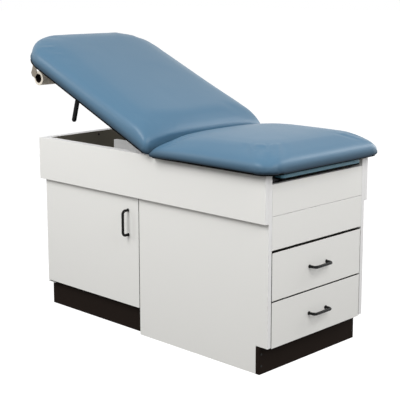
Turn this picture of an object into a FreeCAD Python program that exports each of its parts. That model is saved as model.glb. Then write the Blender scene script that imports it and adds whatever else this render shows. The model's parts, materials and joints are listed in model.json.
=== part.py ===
"""Treatment table: a laminate cabinet with a raised back, a fixed seat and a pull-out leg rest.

Millimetres, +Z up, +X towards the foot end, -Y towards the door side.  The origin lies on the
floor under the middle of the cabinet.
"""
import FreeCAD, Part
import math
import os

os.makedirs("parts", exist_ok=True)
V = FreeCAD.Vector
X_AXIS = V(1, 0, 0)
Y_AXIS = V(0, 1, 0)
Z_AXIS = V(0, 0, 1)

# Cabinet
body_length = 1250.0
body_width = 560.0
board = 18.0
body_top = 732.0
apron_height = 176.0
toe_height = 105.0
toe_notch_depth = 55.0
side_toe_recess = 24.0
door_side_length = 585.0
deck_drop = 34.0
shelf_top = 340.0
shelf_setback = 40.0
centre_board_top = 707.0
centre_board_start = 130.0
cross_rail_place = 515.0

# Foot end, heights above the floor
lower_front_bottom = 101.0
drawer_split = 272.0
drawer_gap = 5.0
upper_front_top = 449.0
fascia_bottom = 457.0
fascia_split = 579.0
fascia_top = 694.0
front_side_gap = 3.0

# Drawers
drawer_back_room = 177.5
drawer_wall = 12.0
drawer_bottom_thick = 6.0
drawer_box_height = 118.0
drawer_box_rise = 32.0
slide_space = 13.0
slide_height = 40.0
slide_steel = 1.5
slide_lip = 9.0
slide_bar = 8.0

# Door
door_bottom = 108.0
door_gap = 3.0
pivot_edge = 6.0
pivot_inset = 12.0
pivot_radius = 3.0
pivot_depth = 14.0
pivot_plate = 3.0
pivot_plate_length = 46.0
pivot_plate_width = 60.0
carcass_setback = 20.5
catch_width = 46.0
catch_height = 15.0
catch_depth = 13.0
strike_thick = 2.0

# Pulls
pull_centres = 102.0
pull_radius = 4.0
pull_reach = 30.0
pull_bend = 13.0
bend_steps = 3
door_pull_inset = 62.0
door_pull_height = 446.0

# Upholstered top
pad_overhang = 63.0
pad_thick = 118.0
top_board = 12.0
board_inset = 14.0
crease_place = 558.0
crease_gap = 5.0
seat_overhang = 52.0
seat_corner = 74.0
back_length = 885.0
head_corner = 154.0
crease_corner = 24.0
back_angle = 23.6
back_raise = 60.0
back_seat_gap = 0.5
pad_inset = 290.0

# Pad sections from the underside up: share of the thickness, then share of the full inset
seat_height_shares = (0.0, 0.06, 0.195, 0.274, 0.373, 0.524, 0.670, 0.815, 1.0)
back_height_shares = (0.0, 0.06, 0.200, 0.400, 0.540, 0.703, 0.829, 0.927, 1.0)
pad_inset_shares = (0.026, 0.004, 0.0, 0.012, 0.050, 0.15, 0.30, 0.52, 1.0)
crease_inset_share = 0.18
front_inset_share = 0.70
head_inset_share = 0.70
corner_steps = 7

# Back hinges
hinge_length = 60.0
hinge_leaf = 34.0
hinge_steel = 2.0
knuckle_radius = 5.0
hinge_pin_radius = 2.5
hinge_edge = 128.0
knuckle_share = 1.0 / 3.0

# Gas spring, its pivots measured from the back's hinge line
spring_foot_forward = 20.0
spring_foot_drop = 110.0
spring_head_along = 280.0
spring_head_drop = 39.0
spring_side = 36.0
cylinder_radius = 11.0
cylinder_wall = 2.0
cylinder_length = 205.0
rod_radius = 5.0
rod_inside = 110.0
piston_length = 12.0
eye_radius = 9.0
eye_width = 12.0
spring_pin_radius = 4.0
bracket_steel = 3.0
bracket_window = 15.0
bracket_rim = 5.0
bracket_foot = 22.0

# Release lever
lever_along = 536.8
lever_room = 17.0
lever_radius = 8.0
lever_reach = 131.0
lever_lean = 7.0
lever_neck_radius = 5.0
lever_neck = 34.0
lever_pivot_drop = 16.0
lever_eye_radius = 8.0
lever_eye_width = 12.0
lever_pin_radius = 3.0
lever_ear = 3.0
lever_plate_length = 44.0

# Tapered end of the lever grip: share of its radius, then share of the radius below the straight part
grip_end_shares = ((1.0, 0.0), (0.60, 1.0), (0.0, 1.0))

# Paper roll
paper_edge = 76.5
paper_radius = 30.0
core_radius = 19.0
core_wall = 2.0
paper_along = 776.3
paper_drop = 72.5
holder_steel = 2.5
holder_width = 22.0
holder_spigot = 20.0
holder_foot = 40.0
holder_lead = 30.0

# Leg rest
runner_wall = 34.7
leg_rest_length = 480.0
leg_rest_reach = 17.0
leg_rest_board = 6.0
leg_rest_pad_thick = 16.0
leg_rest_under_top = 4.0
leg_rest_corner = 12.0
leg_rest_height_shares = (0.0, 0.80, 1.0)
leg_rest_inset_shares = (0.0, 0.05, 0.35)
runner_lip = 18.0
runner_lip_thick = 8.0

# Fasteners
screw_radius = 2.0
screw_head_radius = 4.0
screw_head = 1.6
toe_screw_shares = (0.30, 0.72)
well_screw_drop = 15.0

# Fits
running = 0.05
clearance = 0.3
overrun = 2.0

# Places that follow from the sizes above
foot = body_length / 2
head = -foot
side = body_width / 2
inner = side - board
head_inner = head + board
apron_bottom = body_top - apron_height
floor_top = toe_height + board
door_edge = head + door_side_length
panel_start = door_edge + door_gap / 2
front_back = foot - board
drawer_depth = front_back - (panel_start + board) - drawer_back_room
deck_top = fascia_split - deck_drop
toe_front = foot - toe_notch_depth + board
near_setback = -(side - carcass_setback)
crease = foot - crease_place
hinge_height = body_top + top_board
half_pad = side + pad_overhang
hinge_place = half_pad - hinge_edge
lever_side = inner - lever_room
paper_width = (half_pad - paper_edge) * 2
bar_face = inner - slide_space
leg_rest_half = inner - runner_wall - clearance
leg_rest_top = body_top - leg_rest_under_top
leg_rest_pad_bottom = leg_rest_top - leg_rest_pad_thick
leg_rest_bottom = leg_rest_pad_bottom - leg_rest_board
leg_rest_front = foot + leg_rest_reach
leg_rest_tail = leg_rest_front - leg_rest_length
cross_rail_x = foot - cross_rail_place
door_axis_x = head + pivot_edge
door_axis_y = -(side - board + pivot_inset)


def save(shape, node):
    shape.exportStep("parts/%s.step" % node)


def block(x0, x1, y0, y1, z0, z1):
    return Part.makeBox(x1 - x0, y1 - y0, z1 - z0, V(x0, y0, z0))


def rod(start, end, radius):
    along = end - start
    return Part.makeCylinder(radius, along.Length, start, along)


def tube(start, end, radius, wall):
    ends = (end - start).normalize() * overrun
    return rod(start, end, radius).cut(rod(start - ends, end + ends, radius - wall))


def outline(points):
    return Part.Face(Part.makePolygon(list(points) + [points[0]]))


def bent_rod(points, bend, radius):
    """Round bar along a route of straight runs, with the same stepped bend at each corner."""
    route = [points[0]]
    for before, corner, after in zip(points, points[1:], points[2:]):
        back = (before - corner).normalize()
        ahead = (after - corner).normalize()
        turn = math.pi - back.getAngle(ahead)
        setback = bend * math.tan(turn / 2)
        inward = (back + ahead).normalize()
        centre = corner + inward * (bend / math.cos(turn / 2))
        enter = corner + back * setback
        leave = corner + ahead * setback
        arc = Part.Arc(enter, centre - inward * bend, leave).toShape()
        route += arc.discretize(bend_steps + 1)
    route = Part.makePolygon(route + [points[-1]])
    profile = Part.Wire(Part.makeCircle(radius, points[0], points[1] - points[0]))
    return route.makePipeShell([profile], True, False, 1)


def raised(shape):
    """Turns a piece of the back from flat to its resting angle about the hinge line."""
    turned = shape.copy()
    turned.rotate(V(crease, 0, hinge_height), Y_AXIS, back_angle)
    return turned


def rounded_wire(x0, x1, half, corner0, corner1, z):
    """Rounded rectangle with one corner radius at each end, as four lines and four arcs."""
    share = 1 - math.sqrt(0.5)
    edges = [
        Part.LineSegment(V(x0 + corner0, -half, z), V(x1 - corner1, -half, z)).toShape(),
        Part.Arc(V(x1 - corner1, -half, z), V(x1 - corner1 * share, -half + corner1 * share, z),
                 V(x1, -half + corner1, z)).toShape(),
        Part.LineSegment(V(x1, -half + corner1, z), V(x1, half - corner1, z)).toShape(),
        Part.Arc(V(x1, half - corner1, z), V(x1 - corner1 * share, half - corner1 * share, z),
                 V(x1 - corner1, half, z)).toShape(),
        Part.LineSegment(V(x1 - corner1, half, z), V(x0 + corner0, half, z)).toShape(),
        Part.Arc(V(x0 + corner0, half, z), V(x0 + corner0 * share, half - corner0 * share, z),
                 V(x0, half - corner0, z)).toShape(),
        Part.LineSegment(V(x0, half - corner0, z), V(x0, -half + corner0, z)).toShape(),
        Part.Arc(V(x0, -half + corner0, z), V(x0 + corner0 * share, -half + corner0 * share, z),
                 V(x0 + corner0, -half, z)).toShape(),
    ]
    return Part.Wire(edges)


def rounded_ring(x0, x1, half, corner0, corner1, z):
    """Points round a rectangle whose corners are cut in short equal steps."""
    corners = ((x1 - corner1, corner1 - half, corner1, -1), (x1 - corner1, half - corner1, corner1, 0),
               (x0 + corner0, half - corner0, corner0, 1), (x0 + corner0, corner0 - half, corner0, 2))
    ring = []
    for x, y, radius, quarter in corners:
        for step in range(corner_steps + 1):
            angle = (quarter + step / corner_steps) * math.pi / 2
            ring.append(V(x + radius * math.cos(angle), y + radius * math.sin(angle), z))
    return ring


def shell_between(rings):
    """Solid closed over a stack of rings that have the same number of points."""
    faces = [outline(rings[0]), outline(rings[-1])]
    for low, high in zip(rings, rings[1:]):
        for i in range(len(low)):
            faces.append(outline((low[i - 1], low[i], high[i], high[i - 1])))
    solid = Part.makeSolid(Part.makeShell(faces))
    if solid.Volume < 0:
        solid.reverse()
    return solid


def crowned_pad(outward, height_shares, far_corner, far_share, length, bottom):
    """Cushion from the crease outward, with drawn-in sides rolling over into a crowned top.

    At the crease its end leans back by half of the back's raise, so that the two cushions
    just meet when the back is fully up.
    """
    lean = math.tan(math.radians(back_raise / 2))
    sections = []
    for height_share, inset_share in zip(height_shares, pad_inset_shares):
        height = pad_thick * height_share
        inset = pad_inset * inset_share
        half = half_pad - inset
        kept = half / half_pad
        crease_inset = max(inset * crease_inset_share, (height - top_board) * lean)
        near = crease + outward * (crease_gap / 2 + crease_inset)
        far = crease + outward * (length - inset * far_share)
        ends = ((near, crease_corner * kept), (far, far_corner * kept))
        (x0, corner0), (x1, corner1) = sorted(ends)
        sections.append(rounded_ring(x0, x1, half, corner0, corner1, bottom + height))
    return shell_between(sections)


def top_base(x0, x1, corner0, corner1, bottom):
    """Plywood base inside a cushion's underside."""
    wire = rounded_wire(x0 + board_inset, x1 - board_inset, half_pad - board_inset,
                        max(corner0 - board_inset, board_inset),
                        max(corner1 - board_inset, board_inset), bottom)
    return Part.Face(wire).extrude(Z_AXIS * top_board)


def hinge_line(y):
    return V(crease, y, hinge_height)


def hinge_room():
    """Space that the hinges take out of the cushions and their bases."""
    room = []
    for y in (-hinge_place, hinge_place):
        start = y - hinge_length / 2 - clearance
        end = y + hinge_length / 2 + clearance
        room.append(rod(hinge_line(start), hinge_line(end), knuckle_radius + clearance))
        room.append(block(crease - hinge_leaf, crease + hinge_leaf, start, end,
                          hinge_height - hinge_steel, hinge_height))
    return Part.makeCompound(room)


def make_carcass():
    """Boards of the cabinet's body, plinth and upper well."""
    notch = block(foot - toe_notch_depth, foot + overrun, -side - overrun, side + overrun,
                  -overrun, toe_height)
    near_panel = block(panel_start, foot, -side, -inner, 0, body_top)
    save(near_panel.cut(notch), "side_panel_near")
    far_panel = block(panel_start, foot, inner, side, 0, body_top)
    save(far_panel.cut(notch), "side_panel_far")
    save(block(head, panel_start, inner, side, 0, body_top), "side_panel_far_head")
    header = block(head, panel_start, -side, -inner, apron_bottom, body_top)
    header_pin = rod(V(door_axis_x, door_axis_y, apron_bottom - overrun),
                     V(door_axis_x, door_axis_y, apron_bottom + pivot_depth), pivot_radius)
    save(header.cut(header_pin), "door_header")
    head_panel = block(head, head_inner, near_setback, inner, toe_height, apron_bottom)
    head_top = block(head, head_inner, -inner, inner, apron_bottom, body_top)
    well_screw = rod(V(head, 0, body_top - well_screw_drop),
                     V(head_inner + overrun, 0, body_top - well_screw_drop), screw_radius)
    save(head_panel.fuse(head_top).removeSplitter().cut(well_screw), "head_panel")
    save(block(panel_start, panel_start + board, -inner, inner, floor_top, deck_top - board),
         "divider_panel")
    floor_points = (V(head_inner, near_setback, toe_height), V(panel_start, near_setback, toe_height),
                    V(panel_start, -inner, toe_height), V(foot - toe_notch_depth, -inner, toe_height),
                    V(foot - toe_notch_depth, inner, toe_height), V(head_inner, inner, toe_height))
    save(outline(floor_points).extrude(Z_AXIS * board), "cabinet_floor")
    deck_points = [V(p.x, p.y, deck_top - board) for p in floor_points[:2]]
    deck_points += [V(panel_start, -inner, deck_top - board), V(front_back, -inner, deck_top - board),
                    V(front_back, inner, deck_top - board), V(head_inner, inner, deck_top - board)]
    save(outline(deck_points).extrude(Z_AXIS * board), "well_deck")
    shelf_front = near_setback + shelf_setback
    save(block(head_inner, panel_start, shelf_front, inner, shelf_top - board, shelf_top), "shelf")
    cross = block(cross_rail_x, cross_rail_x + board, -inner, inner, deck_top, body_top)
    save(cross, "cross_rail")
    centre = block(head + centre_board_start, cross_rail_x, -board / 2, board / 2,
                   deck_top, centre_board_top)
    save(centre.cut(spring_foot_pin()), "centre_board")


def make_aprons():
    """Boards round the top of the cabinet on three sides."""
    save(block(head - board, foot, -side - board, -side, apron_bottom, body_top), "apron_near")
    save(block(head - board, foot, side, side + board, apron_bottom, body_top), "apron_far")
    apron = block(head - board, head, -side, side, apron_bottom, body_top)
    save(apron, "apron_head")


def make_plinth():
    """Dark toe boards and the bearer that the cabinet stands on."""
    plate = pivot_plate_block()
    near_face = -(side - side_toe_recess)
    near_kick = block(head, panel_start, near_face, near_face + board, 0, toe_height)
    save(near_kick.cut(plate), "toe_kick_near")
    head_kick = block(head, head_inner, near_face + board, inner, 0, toe_height)
    save(head_kick.cut(plate), "toe_kick_head")
    foot_kick = block(toe_front - board, toe_front, -side, side, 0, lower_front_bottom)
    save(foot_kick.cut(toe_screw_shanks()), "toe_kick_foot")
    save(block(-board / 2, board / 2, -inner, inner, 0, toe_height), "base_bearer")


def toe_screw_places():
    edge = side - board / 2
    return [V(toe_front, y, toe_height * share) for y in (-edge, edge) for share in toe_screw_shares]


def toe_screw_shanks():
    return Part.makeCompound([rod(p - X_AXIS * board, p, screw_radius) for p in toe_screw_places()])


def screw(place):
    """Screw that points towards the head end, its flat head seated on a face."""
    shank = rod(place - X_AXIS * board, place, screw_radius)
    return shank.fuse(rod(place, place + X_AXIS * screw_head, screw_head_radius))


def make_screws():
    places = toe_screw_places() + [V(head_inner, 0, body_top - well_screw_drop)]
    save(Part.makeCompound([screw(place) for place in places]), "screws")


def make_fascias():
    """Fixed boards over the drawers, flush with the drawer fronts."""
    save(block(front_back, foot, -inner, inner, fascia_split, fascia_top), "fascia_upper")
    save(block(front_back, foot, -inner, inner, fascia_bottom, fascia_split), "fascia_lower")


def pull(place, along, out):
    """Bow pull of bent round bar, its feet on the face at equal distances from its place."""
    half = along * (pull_centres / 2)
    reach = out * pull_reach
    return bent_rod([place - half, place - half + reach, place + half + reach, place + half],
                    pull_bend, pull_radius)


def make_drawer(name, bottom, top):
    """Drawer front, box, bottom, pull and the bars that run in the slides."""
    half = inner - front_side_gap
    save(block(front_back, foot, -half, half, bottom, top), "drawer_%s_front" % name)
    box_bottom = bottom + drawer_box_rise
    box_top = box_bottom + drawer_box_height
    back = front_back - drawer_depth
    walls = []
    for outer_sign in (-1, 1):
        faces = sorted((outer_sign * bar_face, outer_sign * (bar_face - drawer_wall)))
        walls.append(block(back, front_back, faces[0], faces[1], box_bottom, box_top))
    inside = bar_face - drawer_wall
    walls.append(block(back, back + drawer_wall, -inside, inside, box_bottom, box_top))
    walls.append(block(front_back - drawer_wall, front_back, -inside, inside, box_bottom, box_top))
    save(Part.makeCompound(walls), "drawer_%s_box" % name)
    save(block(back, front_back, -bar_face, bar_face, box_bottom - drawer_bottom_thick, box_bottom),
         "drawer_%s_bottom" % name)
    save(pull(V(foot, 0, (bottom + top) / 2), Y_AXIS, X_AXIS), "drawer_%s_pull" % name)
    middle = (box_bottom + box_top) / 2
    reach = slide_height / 2 - slide_steel - clearance
    bars = []
    for outer_sign in (-1, 1):
        faces = sorted((outer_sign * bar_face, outer_sign * (bar_face + slide_bar)))
        bars.append(block(back, front_back, faces[0], faces[1], middle - reach, middle + reach))
    save(Part.makeCompound(bars), "drawer_%s_slide_bars" % name)
    return middle


def make_fixed_slides(middles):
    """Folded steel channels on the cabinet's sides, open towards the drawers."""
    channels = []
    for middle in middles:
        for sign in (-1, 1):
            low = middle - slide_height / 2
            high = middle + slide_height / 2
            web = sign * (inner - slide_steel)
            lip = sign * (inner - slide_lip)
            wall = sign * inner
            corners = ((wall, low), (lip, low), (lip, low + slide_steel), (web, low + slide_steel),
                       (web, high - slide_steel), (lip, high - slide_steel), (lip, high), (wall, high))
            section = outline([V(front_back, y, z) for y, z in corners])
            channels.append(section.extrude(X_AXIS * -drawer_depth))
    save(Part.makeCompound(channels), "drawer_slide_channels")


def door_pin(low, high, radius):
    return rod(V(door_axis_x, door_axis_y, low), V(door_axis_x, door_axis_y, high), radius)


def pivot_plate_block():
    return block(head, head + pivot_plate_length, -side, -side + pivot_plate_width,
                 toe_height - pivot_plate, toe_height)


def make_door():
    """Door, its pull and strike, and the pivots that carry it at the head end."""
    door_top = apron_bottom - door_gap
    panel = block(head, door_edge - door_gap / 2, -side, -inner, door_bottom, door_top)
    sockets = [door_pin(door_bottom - overrun, door_bottom + pivot_depth, pivot_radius + running),
               door_pin(door_top - pivot_depth, door_top + overrun, pivot_radius + running)]
    save(panel.cut(Part.makeCompound(sockets)), "door_panel")
    place = V(door_edge - door_pull_inset, -side, door_pull_height)
    save(pull(place, Z_AXIS, -Y_AXIS), "door_pull")
    seat_pin = door_pin(toe_height, door_bottom + pivot_depth - clearance, pivot_radius)
    lower = pivot_plate_block().fuse(seat_pin).removeSplitter()
    upper = door_pin(door_top - pivot_depth + clearance, apron_bottom + pivot_depth, pivot_radius)
    save(Part.makeCompound([lower, upper]), "door_pivots")
    middle = panel_start - catch_depth
    catch_low = door_top - apron_height / 2
    body = block(middle, panel_start, -inner + strike_thick + clearance, -inner + catch_width,
                 catch_low, catch_low + catch_height)
    save(body, "door_catch")
    strike = block(middle, door_edge - door_gap, -inner, -inner + strike_thick,
                   catch_low, catch_low + catch_height)
    save(strike, "door_strike")


def make_seat(room):
    """Fixed cushion over the drawers and its plywood base."""
    start = crease + crease_gap / 2
    end = foot + seat_overhang
    base = top_base(start, end, crease_corner, seat_corner, body_top)
    pad = crowned_pad(1, seat_height_shares, seat_corner, front_inset_share, end - crease, body_top)
    save(pad.cut(base).cut(room), "seat_pad")
    save(base.cut(room), "seat_board")


def make_back(room):
    """Hinged cushion and its plywood base, modelled flat and then raised."""
    start = crease - back_length
    end = crease - crease_gap / 2
    bottom = body_top + back_seat_gap
    base = top_base(start, end, head_corner, crease_corner, bottom)
    pad = crowned_pad(-1, back_height_shares, head_corner, head_inset_share, back_length, bottom)
    save(raised(pad.cut(base).cut(room)), "back_pad")
    save(raised(base.cut(room)), "back_board")


def make_hinges():
    """Butt hinges let into the two bases at the crease."""
    fixed = []
    moving = []
    pins = []
    middle = hinge_length * knuckle_share
    for y in (-hinge_place, hinge_place):
        start = y - hinge_length / 2
        end = y + hinge_length / 2
        bore = rod(hinge_line(start - overrun), hinge_line(end + overrun), hinge_pin_radius + running)
        low = hinge_height - hinge_steel
        relief = knuckle_radius + clearance
        seat_leaf = block(crease + relief, crease + hinge_leaf, start, end, low, hinge_height)
        for first, last in ((start, y - middle / 2 - clearance), (y + middle / 2 + clearance, end)):
            knuckle = rod(hinge_line(first), hinge_line(last), knuckle_radius)
            tab = block(crease, crease + hinge_leaf, first, last, low, hinge_height)
            seat_leaf = seat_leaf.fuse(knuckle).fuse(tab)
        fixed.append(seat_leaf.cut(bore).removeSplitter())
        inner_knuckle = rod(hinge_line(y - middle / 2), hinge_line(y + middle / 2), knuckle_radius)
        back_leaf = block(crease - hinge_leaf, crease, y - middle / 2, y + middle / 2, low, hinge_height)
        wide_leaf = block(crease - hinge_leaf, crease - relief, start, end, low, hinge_height)
        moving.append(raised(inner_knuckle.fuse(back_leaf).fuse(wide_leaf).cut(bore).removeSplitter()))
        pins.append(rod(hinge_line(start), hinge_line(end), hinge_pin_radius))
    save(Part.makeCompound(fixed), "seat_hinge_leaves")
    save(Part.makeCompound(moving), "back_hinge_leaves")
    save(Part.makeCompound(pins), "hinge_pins")


def on_back(along, side_place, drop):
    """Point of the flat back: along from the hinge line, and down from it."""
    return V(crease - along, side_place, hinge_height - drop)


def on_raised_back(along, side_place, drop):
    angle = math.radians(back_angle)
    return V(crease - along * math.cos(angle) - drop * math.sin(angle), side_place,
             hinge_height + along * math.sin(angle) - drop * math.cos(angle))


def spring_foot():
    return V(crease + spring_foot_forward, spring_side, hinge_height - spring_foot_drop)


def spring_foot_pin():
    place = spring_foot()
    tip = spring_side + eye_width / 2 + bracket_steel
    return rod(V(place.x, -board / 2, place.z), V(place.x, tip, place.z), spring_pin_radius)


def eye(place):
    return rod(place - Y_AXIS * (eye_width / 2), place + Y_AXIS * (eye_width / 2), eye_radius)


def make_gas_spring():
    """Locking gas spring between the well and the back, with its pivots."""
    low = spring_foot()
    high = on_raised_back(spring_head_along, spring_side, spring_head_drop)
    along = (high - low).normalize()
    mouth = low + along * cylinder_length
    shell_start = low + along * (eye_radius + cylinder_wall)
    chamber_start = shell_start + along * cylinder_wall
    shell = rod(shell_start, mouth, cylinder_radius)
    neck = rod(low, shell_start, eye_width / 2)
    chamber = rod(chamber_start, mouth - along * piston_length, cylinder_radius - cylinder_wall)
    gland = rod(chamber_start, mouth + along * overrun, rod_radius + running)
    pin_bore = rod(low - Y_AXIS * eye_width, low + Y_AXIS * eye_width, spring_pin_radius + running)
    save(shell.fuse([neck, eye(low)]).cut(chamber).cut(gland).cut(pin_bore), "gas_spring_cylinder")
    inner_end = mouth - along * rod_inside
    piston = rod(inner_end, inner_end + along * piston_length, cylinder_radius - cylinder_wall - clearance)
    pin_half = Y_AXIS * (eye_width + bracket_steel)
    cross_pin = rod(high - pin_half, high + pin_half, spring_pin_radius)
    save(rod(inner_end, high, rod_radius).fuse(piston).fuse(eye(high)).fuse(cross_pin), "gas_spring_rod")
    washer_end = spring_side - eye_width / 2 - clearance
    washer = rod(V(low.x, board / 2, low.z), V(low.x, washer_end, low.z), eye_radius)
    stop = rod(V(low.x, spring_side + eye_width / 2 + clearance, low.z),
               V(low.x, spring_side + eye_width / 2 + bracket_steel, low.z), eye_radius)
    save(spring_foot_pin().fuse(washer).fuse(stop), "gas_spring_foot_pin")
    save(raised(spring_bracket()), "gas_spring_bracket")


def spring_bracket():
    """Folded channel under the back, with wide windows for the rod's cross pin."""
    reach = bracket_window + bracket_rim
    top = body_top + back_seat_gap
    low = hinge_height - spring_head_drop - reach
    start = crease - spring_head_along - reach
    end = start + reach + reach
    half = eye_width / 2 + bracket_steel
    web = block(start, end, spring_side - half - bracket_foot, spring_side + half + bracket_foot,
                top - bracket_steel, top)
    centre = on_back(spring_head_along, spring_side, spring_head_drop)
    window = block(centre.x - bracket_window, centre.x + bracket_window,
                   spring_side - half - overrun, spring_side + half + overrun,
                   centre.z - bracket_window, centre.z + bracket_window)
    cheeks = []
    for sign in (-1, 1):
        faces = sorted((spring_side + sign * (eye_width / 2 + clearance), spring_side + sign * half))
        cheeks.append(block(start, end, faces[0], faces[1], low, top - bracket_steel))
    return web.fuse(cheeks).cut(window).removeSplitter()


def make_lever():
    """Release lever under the near edge of the back, in its pressed steel bracket."""
    pivot = on_back(lever_along, -lever_side, top_board - back_seat_gap + lever_pivot_drop)
    top = body_top + back_seat_gap
    half = lever_eye_width / 2 + clearance
    plate = block(pivot.x - lever_plate_length / 2, pivot.x + lever_plate_length / 2,
                  pivot.y - half - lever_ear, pivot.y + half + lever_ear, top - lever_ear, top)
    ears = []
    for sign in (-1, 1):
        faces = sorted((pivot.y + sign * half, pivot.y + sign * (half + lever_ear)))
        ears.append(block(pivot.x - lever_eye_radius, pivot.x + lever_eye_radius, faces[0], faces[1],
                          pivot.z - lever_eye_radius, top - lever_ear))
    width = Y_AXIS * (half + lever_ear)
    bore = rod(pivot - width - Y_AXIS * overrun, pivot + width + Y_AXIS * overrun, lever_pin_radius)
    save(raised(plate.fuse(ears).cut(bore).removeSplitter()), "lever_bracket")
    save(raised(rod(pivot - width, pivot + width, lever_pin_radius)), "lever_pin")
    eye_half = lever_eye_radius - clearance
    boss = block(pivot.x - eye_half, pivot.x + eye_half,
                 pivot.y - lever_eye_width / 2, pivot.y + lever_eye_width / 2,
                 pivot.z - eye_half, pivot.z + eye_half)
    through = Y_AXIS * lever_eye_width
    hole = rod(pivot - through, pivot + through, lever_pin_radius + running)
    shank_end = pivot - Z_AXIS * (lever_neck + lever_radius)
    shank = boss.fuse(rod(pivot, shank_end, lever_neck_radius)).cut(hole)
    shank.rotate(pivot, Y_AXIS, -lever_lean)
    save(raised(shank), "lever_shank")
    save(raised(lever_grip(pivot)), "lever_grip")


def lever_grip(pivot):
    """Round grip with a tapered end, turned about the lever's axis."""
    upper = pivot.z - lever_neck
    lower = pivot.z - lever_reach + lever_radius
    socket = upper - lever_radius
    profile = [(0, socket), (lever_neck_radius, socket), (lever_neck_radius, upper), (lever_radius, upper)]
    for radius_share, drop_share in grip_end_shares:
        profile.append((lever_radius * radius_share, lower - lever_radius * drop_share))
    points = [V(pivot.x + radius, pivot.y, height) for radius, height in profile]
    grip = outline(points).revolve(pivot, Z_AXIS, 360)
    grip.rotate(pivot, Y_AXIS, -lever_lean)
    return grip


def make_paper():
    """Paper roll on its card core, and the two strap holders that carry it under the head end."""
    axis = on_back(paper_along, 0, paper_drop + top_board - back_seat_gap)
    half = paper_width / 2
    start = axis - Y_AXIS * half
    end = axis + Y_AXIS * half
    save(raised(tube(start, end, paper_radius, paper_radius - core_radius)), "paper_roll")
    save(raised(tube(start, end, core_radius, core_wall)), "paper_core")
    top = body_top + back_seat_gap
    spigot_radius = core_radius - core_wall - running
    for name, sign in (("near", -1), ("far", 1)):
        face = axis + Y_AXIS * (sign * (half + clearance))
        outer = face + Y_AXIS * (sign * holder_steel)
        spigot = rod(outer, face - Y_AXIS * (sign * holder_spigot), spigot_radius)
        flange = rod(face, outer, core_radius)
        inset = core_radius * math.sqrt(0.5)
        lead = axis.x - holder_lead
        corners = ((axis.x - inset, axis.z + inset), (axis.x - core_radius, axis.z),
                   (lead - holder_width, axis.z + holder_width), (lead - holder_width, top),
                   (lead, top), (lead, axis.z + holder_width + inset))
        arm = outline([V(x, face.y, z) for x, z in corners]).extrude(Y_AXIS * (sign * holder_steel))
        feet = sorted((outer.y, outer.y - sign * holder_foot))
        foot_plate = block(lead - holder_width, lead, feet[0], feet[1], top - holder_steel, top)
        holder = flange.fuse([arm, spigot, foot_plate]).removeSplitter()
        save(raised(holder), "paper_holder_%s" % name)


def make_leg_rest():
    """Upholstered panel that slides out from under the seat, and the runners that carry it."""
    half = leg_rest_half
    stiffener = block(leg_rest_tail, leg_rest_front - leg_rest_board, -half, half,
                      leg_rest_bottom, leg_rest_pad_bottom)
    save(stiffener, "leg_rest_board")
    sections = []
    for height_share, inset_share in zip(leg_rest_height_shares, leg_rest_inset_shares):
        inset = leg_rest_pad_thick * inset_share
        sections.append(rounded_wire(leg_rest_tail + inset, leg_rest_front - inset, half - inset,
                                     leg_rest_corner, leg_rest_corner,
                                     leg_rest_pad_bottom + leg_rest_pad_thick * height_share))
    save(Part.makeLoft(sections, True, True), "leg_rest_pad")
    low = leg_rest_bottom - clearance
    start = cross_rail_x + board
    for name, sign in (("near", -1), ("far", 1)):
        wall = sign * inner
        edge = sign * (inner - runner_wall)
        lip = sign * (inner - runner_wall - runner_lip)
        corners = ((wall, low - runner_lip_thick), (lip, low - runner_lip_thick), (lip, low),
                   (edge, low), (edge, leg_rest_top), (wall, leg_rest_top))
        section = outline([V(start, y, z) for y, z in corners])
        save(section.extrude(X_AXIS * (front_back - start)), "leg_rest_runner_%s" % name)


make_carcass()
make_aprons()
make_plinth()
make_screws()
make_fascias()
slide_middles = [make_drawer("upper", drawer_split + drawer_gap / 2, upper_front_top),
                 make_drawer("lower", lower_front_bottom, drawer_split - drawer_gap / 2)]
make_fixed_slides(slide_middles)
make_door()
hinge_pockets = hinge_room()
make_seat(hinge_pockets)
make_back(hinge_pockets)
make_hinges()
make_gas_spring()
make_lever()
make_paper()
make_leg_rest()
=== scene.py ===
"""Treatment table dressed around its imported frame: laminate cabinet, blue cushions, paper roll and hardware.

Lengths are metres in the frame's own axes: +X towards the foot end, -Y towards the door side, +Z up.
"""

import json
import logging
import math
from dataclasses import dataclass, field
from enum import Enum
from typing import ClassVar, Optional, Sequence

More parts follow.
